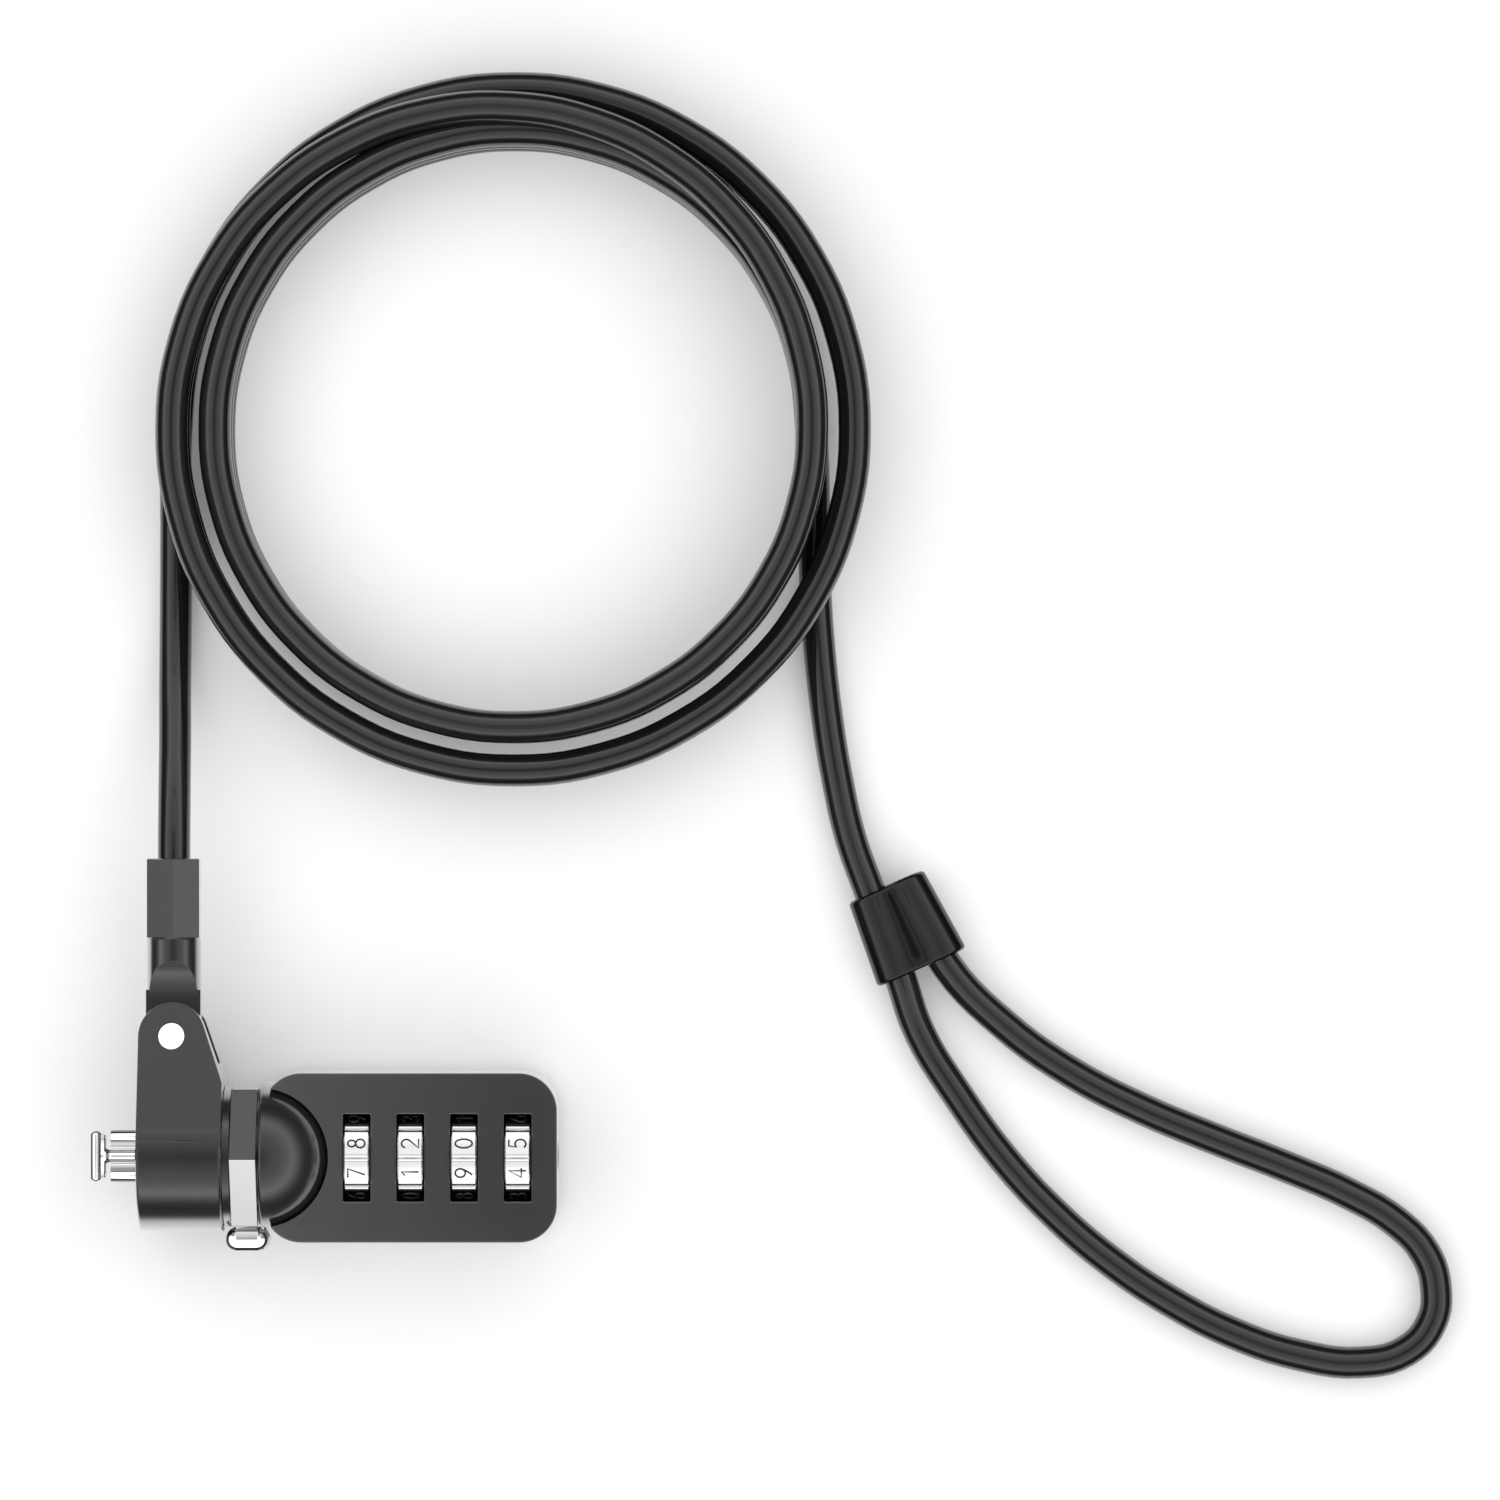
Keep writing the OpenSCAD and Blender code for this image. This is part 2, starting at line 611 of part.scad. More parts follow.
module shaft_circlip() {
    color("#8d8f92") split_ring(cavity_x + 0.1, cavity_x + 0.7, shaft_r - 0.28, cavity_r - 0.15, 50);
}

// ---- Locking spindle and wheels ----
module locking_spindle() {
    color("#b08d57") difference() {
        union() {
            translate([0, finger_off, 0])
                disc_x(cam_x - spindle_travel + finger_r * tan(cam_slope) + 0.05, spindle_x0 + 0.1, finger_r);
            disc_x(spindle_x0, spindle_x0 + 0.8, fin_r);
            disc_x(spindle_x0 + 0.7, spindle_x1, spindle_r);
            for (x = wheel_x) translate([x - hub_len / 2 - fin_w - 1, -fin_t / 2, -fin_r])
                cube([fin_w, fin_t, fin_r]);
        }
        disc_x(spring_x0, spindle_x1 + 1, 1.25);
    }
}
module number_wheel(x) {
    color("#d5d5d6") difference() {
        about_x(x - wheel_w / 2) rotate([0, 0, 18]) cylinder(h = wheel_w, r = wheel_r, $fn = 10);
        disc_x(x - wheel_w, x + wheel_w, hub_r + 0.02);
        for (i = [0:9]) about_x(x - wheel_w) rotate([0, 0, 36 * i + 18]) translate([wheel_r + 0.1, 0, 0])
            cylinder(h = 2 * wheel_w, r = 0.4, $fn = 16);
    }
}
module wheel_hub(x) {
    slot = fin_t + 0.3;
    color("#b08d57") difference() {
        disc_x(x - hub_len / 2, x + hub_len / 2, hub_r);
        disc_x(x - hub_len, x + hub_len, spindle_r + run);
        translate([x - hub_len, -slot / 2, -fin_r - 0.15]) cube([2 * hub_len, slot, fin_r]);
    }
}
module reset_screw() {
    color("#8d8f92") difference() {
        union() {
            disc_x(reset_flange_x, wall_x1 - 0.1, reset_r + 0.7);
            disc_x(wall_x1 - 0.2, house_x1 - 0.1, reset_r);
        }
        translate([house_x1 - 0.7, -far / 2, -0.3]) cube([far, far, 0.6]);
    }
}

cable_fitting();
cable_lead();
cable_coil();
cable_tail();
cable_loop();
loop_sleeve();
yoke();
hinge_rivet();
core_barrel();
guide_posts();
nose_circlip();
swivel_washer();
dome_collar();
core_nut();
housing_top();
housing_base();
base_screws();
spindle_plate();
hub_spacers();
wheel_detent_spring();
spindle_spring();
t_bar();
turn_shaft();
turn_ring();
turn_lever();
drive_pin();
shaft_circlip();
locking_spindle();
reset_screw();
number_wheel(wheel_x[0]);  // number_wheel_1
number_wheel(wheel_x[1]);  // number_wheel_2
number_wheel(wheel_x[2]);  // number_wheel_3
number_wheel(wheel_x[3]);  // number_wheel_4
wheel_hub(wheel_x[0]);  // wheel_hub_1
wheel_hub(wheel_x[1]);  // wheel_hub_2
wheel_hub(wheel_x[2]);  // wheel_hub_3
wheel_hub(wheel_x[3]);  // wheel_hub_4
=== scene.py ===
"""Looks of a four-wheel combination cable lock for a laptop.

Lengths are millimetres in the lock's own frame unless a name ends in _m: X runs along the
lock, +Y towards the cable's fitting and +Z up from the table. Meshes are written in metres.
"""
import logging
import math
from dataclasses import dataclass, field
from enum import Enum
from typing import Callable, Iterable, Optional, Sequence, Union

import bmesh
import bpy
from mathutils import Matrix, Vector


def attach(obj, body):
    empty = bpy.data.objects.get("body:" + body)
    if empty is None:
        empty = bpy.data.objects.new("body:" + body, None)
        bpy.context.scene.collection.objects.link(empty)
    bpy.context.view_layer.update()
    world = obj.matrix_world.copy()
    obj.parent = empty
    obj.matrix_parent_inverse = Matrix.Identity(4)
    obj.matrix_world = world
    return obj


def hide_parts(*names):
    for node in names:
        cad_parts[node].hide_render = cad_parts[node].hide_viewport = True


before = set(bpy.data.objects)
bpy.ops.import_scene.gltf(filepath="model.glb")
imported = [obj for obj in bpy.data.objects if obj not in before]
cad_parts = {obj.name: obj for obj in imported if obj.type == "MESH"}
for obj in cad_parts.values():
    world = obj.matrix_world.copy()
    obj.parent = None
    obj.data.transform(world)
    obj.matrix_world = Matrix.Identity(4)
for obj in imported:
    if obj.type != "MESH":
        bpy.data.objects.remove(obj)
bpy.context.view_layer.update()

log = logging.getLogger("cable_lock")

MM = 0.001
PATCHES_PER_M = 220
SMUDGES_PER_M = 900
PATCH_SHARE = 0.7
PAINTED_SHADE_SHARE = 0.75
BUMP_DEPTH_M = 0.00005
FAR = 20
Flat = tuple[float, float]
Spot = tuple[float, float, float]
Number = Union[int, float]


class Direction(Enum):
    """The way a turned or extruded shape's own Z axis points."""

    X = Matrix(((0, 0, 1, 0), (1, 0, 0, 0), (0, 1, 0, 0), (0, 0, 0, 1)))
    Y = Matrix(((0, 1, 0, 0), (0, 0, 1, 0), (1, 0, 0, 0), (0, 0, 0, 1)))
    Z = Matrix.Identity(4)


class Blend(Enum):
    """What a second solid does to the first."""

    CUT = "DIFFERENCE"
    JOIN = "UNION"
    KEEP = "INTERSECT"


class Body(str, Enum):
    """The moving bodies that pieces ride on."""

    CABLE_END = "cable_end"
    YOKE = "yoke"
    LOCK = "lock"
    TURN_BAR = "turn_bar"


# ---- Shared sizes ----
@dataclass(frozen=True)
class LockSizes:
    """Sizes that more than one sub-assembly meets.

    Args:
        head_r: radius of the yoke's barrel and of the dome.
        yoke_len: length of the yoke's barrel.
        ring_af: width across flats of the turn ring.
        ring_w: width of the turn ring.
        wheel_r: corner radius of a number wheel.
        wheel_pitch: distance from wheel to wheel.
        cable_d: diameter of the cable.
        run: clearance between pieces that turn in each other.
    """

    head_r: float = 10.0
    yoke_len: float = 11.15
    ring_af: float = 18.0
    ring_w: float = 3.5
    wheel_r: float = 6.6
    wheel_pitch: float = 7.05
    cable_d: float = 4.3
    run: float = 0.05

    @property
    def ring_x(self) -> float:
        """Left face of the turn ring."""
        return self.yoke_len + 1.1

    @property
    def dome_c(self) -> float:
        """Centre of the dome's sphere on the lock's axis."""
        return self.ring_x + self.ring_w

    @property
    def wheel_x(self) -> list[float]:
        """Middle plane of each number wheel."""
        return [self.dome_c + 13 + i * self.wheel_pitch for i in range(4)]

    @property
    def table_z(self) -> float:
        """Height of the table under the lock's axis."""
        return -self.ring_af / 2 / math.cos(math.radians(30))


SIZES = LockSizes()


# ---- Mesh making ----
def new_piece(name: str, mesh: bpy.types.Mesh) -> bpy.types.Object:
    """Links a mesh to the scene as one piece.

    Args:
        name: the piece's name.
        mesh: its mesh, in metres and in place.

    Returns:
        The new object, at the origin.
    """
    obj = bpy.data.objects.new(name, mesh)
    bpy.context.scene.collection.objects.link(obj)
    return obj


def piece_of(name: str, bm: bmesh.types.BMesh, place: Optional[Matrix] = None) -> bpy.types.Object:
    """Closes up a bmesh in millimetres and makes it a piece in metres.

    Args:
        name: the piece's name.
        bm: the shape, in millimetres. It is freed.
        place: where the shape's own frame goes, in millimetres.

    Returns:
        The piece, with doubled points merged and faces pointing outwards.
    """
    bmesh.ops.remove_doubles(bm, verts=bm.verts, dist=1e-5)
    bmesh.ops.dissolve_degenerate(bm, edges=bm.edges, dist=1e-5)
    bmesh.ops.recalc_face_normals(bm, faces=bm.faces)
    bm.transform(Matrix.Scale(MM, 4) @ (place or Matrix.Identity(4)))
    mesh = bpy.data.meshes.new(name)
    bm.to_mesh(mesh)
    bm.free()
    return new_piece(name, mesh)


def rings_to_piece(name: str, rings: Sequence[Sequence[Spot]], place: Optional[Matrix] = None,
                   wrapped: bool = False) -> bpy.types.Object:
    """Skins rings of points that have the same count.

    Args:
        name: the piece's name.
        rings: the rings in order, each a closed loop.
        place: where the shape's own frame goes.
        wrapped: whether the last ring joins the first. If not, a face closes each end.

    Returns:
        The skinned piece.
    """
    bm = bmesh.new()
    rows = [[bm.verts.new(p) for p in ring] for ring in rings]
    pairs = list(zip(rows, rows[1:])) + ([(rows[-1], rows[0])] if wrapped else [])
    for low, high in pairs:
        for i in range(len(low)):
            j = (i + 1) % len(low)
            bm.faces.new((low[i], low[j], high[j], high[i]))
    if not wrapped:
        bm.faces.new(list(reversed(rows[0])))
        bm.faces.new(rows[-1])
    return piece_of(name, bm, place)


def turned(name: str, profile: Sequence[Flat], direction: Direction = Direction.X,
           at: Spot = (0, 0, 0), steps: int = 96) -> bpy.types.Object:
    """Turns a closed profile round an axis.

    Args:
        name: the piece's name.
        profile: (distance along the axis, radius) points of a closed loop.
        direction: the axis's direction.
        at: a point on the axis from which the distances run.
        steps: facets round the axis.

    Returns:
        The turned piece.
    """
    rings = []
    for k in range(steps):
        a = math.tau * k / steps
        rings.append([(r * math.cos(a), r * math.sin(a), along) for along, r in profile])
    place = Matrix.Translation(at) @ direction.value
    return rings_to_piece(name, rings, place, wrapped=True)


def rod(name: str, low: float, high: float, radius: float, direction: Direction = Direction.X,
        at: Spot = (0, 0, 0), steps: int = 96) -> bpy.types.Object:
    """Makes a plain round rod.

    Args:
        name: the piece's name.
        low: where it starts along its axis.
        high: where it ends.
        radius: its radius.
        direction: the axis's direction.
        at: a point on the axis from which the distances run.
        steps: facets round the axis.

    Returns:
        The rod.
    """
    return turned(name, [(low, 0), (low, radius), (high, radius), (high, 0)], direction, at, steps)


def extruded(name: str, outline: Sequence[Flat], low: float, high: float,
             direction: Direction = Direction.Z) -> bpy.types.Object:
    """Extrudes a flat outline.

    Args:
        name: the piece's name.
        outline: the outline's corners.
        low: where the extrusion starts on its own Z.
        high: where it ends.
        direction: the way its own Z points.

    Returns:
        The extruded piece.
    """
    rings = [[(x, y, z) for x, y in outline] for z in (low, high)]
    return rings_to_piece(name, rings, direction.value)


def evaluated(obj: bpy.types.Object) -> bpy.types.Object:
    """Replaces a piece's mesh with what its modifiers make of it, and removes them.

    Args:
        obj: the piece.

    Returns:
        The same piece.
    """
    graph = bpy.context.evaluated_depsgraph_get()
    graph.update()
    mesh = bpy.data.meshes.new_from_object(obj.evaluated_get(graph))
    obj.modifiers.clear()
    obj.data = mesh
    return obj


def worked(body: bpy.types.Object, blend: Blend, *tools: bpy.types.Object) -> bpy.types.Object:
    """Cuts, joins or trims a solid with others, which are used up.

    Args:
        body: the solid that is worked on.
        blend: what the tools do to it.
        tools: the other solids.

    Returns:
        The worked solid.
    """
    for tool in tools:
        modifier = body.modifiers.new("work", "BOOLEAN")
        modifier.operation = blend.value
        modifier.solver = "EXACT"
        modifier.object = tool
        evaluated(body)
        bpy.data.objects.remove(tool)
    return body


def eased(obj: bpy.types.Object, width: float, segments: int = 2, corner: float = 32) -> bpy.types.Object:
    """Rounds a piece's edges off and shades it smooth.

    Args:
        obj: the piece.
        width: how wide the rounding is.
        segments: facets across the rounding.
        corner: the least angle between two faces that counts as an edge, in degrees.

    Returns:
        The same piece.
    """
    if width > 0:
        bm = bmesh.new()
        bm.from_mesh(obj.data)
        bmesh.ops.remove_doubles(bm, verts=bm.verts, dist=2e-6)
        bmesh.ops.dissolve_degenerate(bm, edges=bm.edges, dist=2e-6)
        bmesh.ops.dissolve_limit(bm, angle_limit=math.radians(0.5), verts=bm.verts, edges=bm.edges)
        bm.to_mesh(obj.data)
        bm.free()
        modifier = obj.modifiers.new("ease", "BEVEL")
        modifier.width = width * MM
        modifier.segments = segments
        modifier.limit_method = "ANGLE"
        modifier.angle_limit = math.radians(corner)
        modifier.use_clamp_overlap = False
        modifier.miter_outer = "MITER_ARC"
        weigh = obj.modifiers.new("weigh", "WEIGHTED_NORMAL")
        weigh.keep_sharp = True
        obj.data.shade_smooth()
        return evaluated(obj)
    obj.data.shade_smooth()
    obj.data.set_sharp_from_angle(angle=math.radians(corner))
    return obj


# ---- Flat outlines ----
def arc(centre: Flat, radius: Union[float, Flat], start: float, end: float, steps: int) -> list[Flat]:
    """Points of an arc, both ends among them.

    Args:
        centre: the arc's centre.
        radius: its radius, or its two half axes.
        start: its first angle in degrees.
        end: its last angle.
        steps: its number of chords.

    Returns:
        The points in order.
    """
    rx, ry = radius if isinstance(radius, tuple) else (radius, radius)
    angles = [math.radians(start + (end - start) * i / steps) for i in range(steps + 1)]
    return [(centre[0] + rx * math.cos(a), centre[1] + ry * math.sin(a)) for a in angles]


def rounded_box(x0: float, x1: float, y0: float, y1: float, radius: float, steps: int = 12) -> list[Flat]:
    """A rectangle's outline with rounded corners.

    Args:
        x0: its left side.
        x1: its right side.
        y0: its lower side.
        y1: its upper side.
        radius: the corners' radius.
        steps: chords in one corner.

    Returns:
        The outline, counter-clockwise.
    """
    corners = [(x1 - radius, y1 - radius, 0), (x0 + radius, y1 - radius, 90),
               (x0 + radius, y0 + radius, 180), (x1 - radius, y0 + radius, 270)]
    return [p for x, y, a in corners for p in arc((x, y), radius, a, a + 90, steps)]


def stacked(name: str, outline: Callable[[float], list[Flat]], levels: Iterable[Flat],
            place: Optional[Matrix] = None) -> bpy.types.Object:
    """Skins one outline at several heights.

    Args:
        name: the piece's name.
        outline: makes the outline for an inset.
        levels: (height, inset) pairs from the bottom up.
        place: where the shape's own frame goes.

    Returns:
        The skinned piece.
    """
    rings = [[(x, y, z) for x, y in outline(inset)] for z, inset in levels]
    return rings_to_piece(name, rings, place)


def smooth_step(t: float) -> float:
    """A soft step from 0 to 1."""
    t = min(1.0, max(0.0, t))
    return t * t * (3 - 2 * t)


# ---- Shader writing ----
class Signal:
    """A shader socket that can be used in sums."""

    def __init__(self, sheet: "Sheet", socket: bpy.types.NodeSocket) -> None:
        """Keeps the socket and the sheet it is on."""
        self.sheet = sheet
        self.socket = socket

    def _math(self, operation: str, first: "Value", second: "Value") -> "Signal":
        """One Math node on two values."""
        return self.sheet.node("ShaderNodeMath", {"operation": operation}, {0: first, 1: second})

    def __add__(self, other: "Value") -> "Signal":
        """self + other."""
        return self._math("ADD", self, other)

    __radd__ = __add__

    def __sub__(self, other: "Value") -> "Signal":
        """self - other."""
        return self._math("SUBTRACT", self, other)

    def __mul__(self, other: "Value") -> "Signal":
        """self * other."""
        return self._math("MULTIPLY", self, other)


Value = Union[Signal, Number, Sequence[float]]


class Sheet:
    """The node tree of one material or of the world."""

    def __init__(self, tree: bpy.types.NodeTree) -> None:
        """Clears the tree and keeps it."""
        self.tree = tree
        tree.nodes.clear()

    def node(self, kind: str, settings: dict, values: dict, out: Union[int, str] = 0) -> Signal:
        """Adds a node.

        Args:
            kind: the node's type.
            settings: its properties, or "stops" for a colour ramp's (place, shade) pairs.
            values: what goes into its sockets, by index or name.
            out: the socket that is returned.

        Returns:
            One of the node's outputs.
        """
        node = self.tree.nodes.new(kind)
        for key, setting in settings.items():
            if key == "stops":
                ramp = node.color_ramp
                while len(ramp.elements) < len(setting):
                    ramp.elements.new(1.0)
                for element, (place, shade) in zip(ramp.elements, setting):
                    element.position = place
                    element.color = (shade, shade, shade, 1) if isinstance(shade, (int, float)) else (*shade, 1)
            else:
                setattr(node, key, setting)
        for key, value in values.items():
            if isinstance(value, Signal):
                self.tree.links.new(value.socket, node.inputs[key])
            else:
                node.inputs[key].default_value = value
        return Signal(self, node.outputs[out] if len(node.outputs) else None)

    def noise(self, scale: float, detail: float = 2.0, stretch: Spot = (1, 1, 1)) -> Signal:
        """Noise on Object coordinates.

        Args:
            scale: features per metre.
            detail: octaves.
            stretch: how much denser it is along X, Y and Z.

        Returns:
            The noise, from 0 to 1.
        """
        place = self.node("ShaderNodeTexCoord", {}, {}, "Object")
        mapped = self.node("ShaderNodeMapping", {}, {"Vector": place, "Scale": stretch})
        return self.node("ShaderNodeTexNoise", {}, {"Vector": mapped, "Scale": scale, "Detail": detail}, "Fac")

    def mixed(self, factor: Value, first: Sequence[float], second: Sequence[float]) -> Signal:
        """Mixes two colours by a factor."""
        return self.node("ShaderNodeMix", {"data_type": "RGBA"},
                         {0: factor, 6: (*first, 1), 7: (*second, 1)}, 2)


@dataclass(frozen=True)
class Finish:
    """A surface finish.

    Args:
        name: the material's name.
        colour: its colour.
        worn: the colour that it shades to in patches, and the far end of the painted shade along X.
        metallic: 1 for bare metal.
        roughness: its middle roughness.
        spread: how much the roughness wanders.
        grain: fine bumps per metre.
        bump: how strong the fine bumps are.
        stretch: how the grain is drawn out along X, Y and Z.
        ior: index of refraction.
        edge: share of a gloss at grazing angles.
        edge_colour: colour of that gloss.
        edge_start: how soon that gloss sets in, from 0 to 1.
        fade: the places along X in metres between which a painted shade takes the colour over to the worn one.
    """

    name: str
    colour: Spot
    worn: Spot
    metallic: float = 0.0
    roughness: float = 0.3
    spread: float = 0.06
    grain: float = 9000.0
    bump: float = 0.05
    stretch: Spot = (1, 1, 1)
    ior: float = 1.5
    edge: float = 0.0
    edge_colour: Spot = (0.9, 0.9, 0.9)
    edge_start: float = 0.667
    fade: Optional[Flat] = None

    def material(self) -> bpy.types.Material:
        """The material, made once and then shared."""
        made = bpy.data.materials.get(self.name)
        if made is not None:
            return made
        made = bpy.data.materials.new(self.name)
        made.use_nodes = True
        sheet = Sheet(made.node_tree)
        patches = sheet.noise(PATCHES_PER_M, 3)
        grain = sheet.noise(self.grain, 2, self.stretch)
        smudges = sheet.noise(SMUDGES_PER_M, 2)
        share = patches * PATCH_SHARE + grain * 0.3
        # Painted shade: along X the colour goes over to the second one, standing in for less light falling towards
        # the housing's right end.
        if self.fade:
            place = sheet.node("ShaderNodeTexCoord", {}, {}, "Object")
            along = sheet.node("ShaderNodeSeparateXYZ", {}, {0: place}, "X")
            start, end = self.fade
            share = share * (1 - PAINTED_SHADE_SHARE) + (along - start) * (PAINTED_SHADE_SHARE / (end - start))
        colour = sheet.mixed(share, self.colour, self.worn)
        roughness = self.roughness + (smudges - 0.5) * self.spread + (grain - 0.5) * self.spread
        bump = sheet.node("ShaderNodeBump", {}, {"Strength": self.bump, "Distance": BUMP_DEPTH_M, "Height": grain},
                          "Normal")
        shader = sheet.node("ShaderNodeBsdfPrincipled", {}, {
            "Base Color": colour, "Metallic": self.metallic, "Roughness": roughness, "Normal": bump,
            "IOR": self.ior})
        if self.edge:
            facing = sheet.node("ShaderNodeLayerWeight", {}, {"Blend": self.edge_start}, "Facing")
            gloss = sheet.node("ShaderNodeBsdfPrincipled", {}, {
                "Base Color": (*self.edge_colour, 1), "Metallic": 1.0, "Roughness": roughness, "Normal": bump})
            shader = sheet.node("ShaderNodeMixShader", {}, {0: facing * facing * self.edge, 1: shader, 2: gloss})
        sheet.node("ShaderNodeOutputMaterial", {}, {"Surface": shader})
        return made


SATIN_BLACK = Finish("satin_black_lacquer", (0.010, 0.010, 0.011), (0.016, 0.016, 0.016), roughness=0.2,
                     spread=0.06, bump=0.08, edge=0.95)
# The housing is painted lighter at its left end and darker towards its right, a painted shade along X.
HOUSING_BLACK = Finish("housing_black_lacquer", (0.048, 0.045, 0.044), (0.014, 0.013, 0.014), roughness=0.42,
                       spread=0.05, bump=0.10, edge=0.95, fade=(0.018, 0.045))
# The wheel hubs are coloured near black, as dark as the gaps beside the wheels in the windows.
DARK_STEEL = Finish("dark_hub_steel", (0.03, 0.03, 0.032), (0.05, 0.05, 0.052), metallic=1.0, roughness=0.4)
CHROME = Finish("polished_chrome", (0.90, 0.90, 0.91), (0.96, 0.96, 0.96), metallic=1.0, roughness=0.07,
                spread=0.03, bump=0.01, edge=0.95, edge_colour=(0.04, 0.04, 0.04), edge_start=0.8)
NICKEL = Finish("brushed_nickel", (0.66, 0.66, 0.65), (0.76, 0.75, 0.74), metallic=1.0, roughness=0.14,
                spread=0.06, bump=0.05, grain=14000, stretch=(0.15, 1, 1))
NUMBER_PAINT = Finish("black_number_paint", (0.006, 0.006, 0.006), (0.012, 0.012, 0.012), roughness=0.5)
STEEL = Finish("plain_steel", (0.46, 0.47, 0.49), (0.58, 0.58, 0.60), metallic=1.0, roughness=0.30,
               spread=0.10, grain=7000, stretch=(1, 0.2, 1))
BRASS = Finish("turned_brass", (0.62, 0.44, 0.20), (0.75, 0.56, 0.30), metallic=1.0, roughness=0.27,
               spread=0.10, grain=9000, stretch=(1, 0.15, 0.15))
VINYL = Finish("black_vinyl_jacket", (0.007, 0.007, 0.007), (0.012, 0.012, 0.012), roughness=0.10,
               spread=0.03, grain=2500, bump=0.02, edge=0.10)
SLEEVE_BLACK = Finish("glossy_black_sleeve", (0.004, 0.004, 0.004), (0.006, 0.006, 0.006), roughness=0.03,
                      spread=0.02, grain=1500, bump=0.005, ior=1.4, edge=0.05)


def dress(obj: bpy.types.Object, finish: Finish, body: str, slot: str, *nodes: str) -> bpy.types.Object:
    """Gives a piece its finish and its body, and hides the CAD nodes that it stands for.

    Args:
        obj: the piece.
        finish: its finish.
        body: the body that it rides on.
        slot: the record's material slot.
        nodes: the CAD nodes that it replaces.

    Returns:
        The same piece.
    """
    obj.data.materials.clear()
    obj.data.materials.append(finish.material())
    return settle(obj, body, slot, *nodes)


def settle(obj: bpy.types.Object, body: str, slot: str, *nodes: str) -> bpy.types.Object:
    """Makes a finished piece ride on its body and hides the CAD nodes that it stands for.

    Args:
        obj: the piece.
        body: the body that it rides on.
        slot: the record's material slot; not used.
        nodes: the CAD nodes that it replaces.

    Returns:
        The same piece.
    """
    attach(obj, str(body.value) if isinstance(body, Body) else body)
    if nodes:
        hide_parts(*nodes)
    log.info("%s rides on %s", obj.name, body)
    return obj


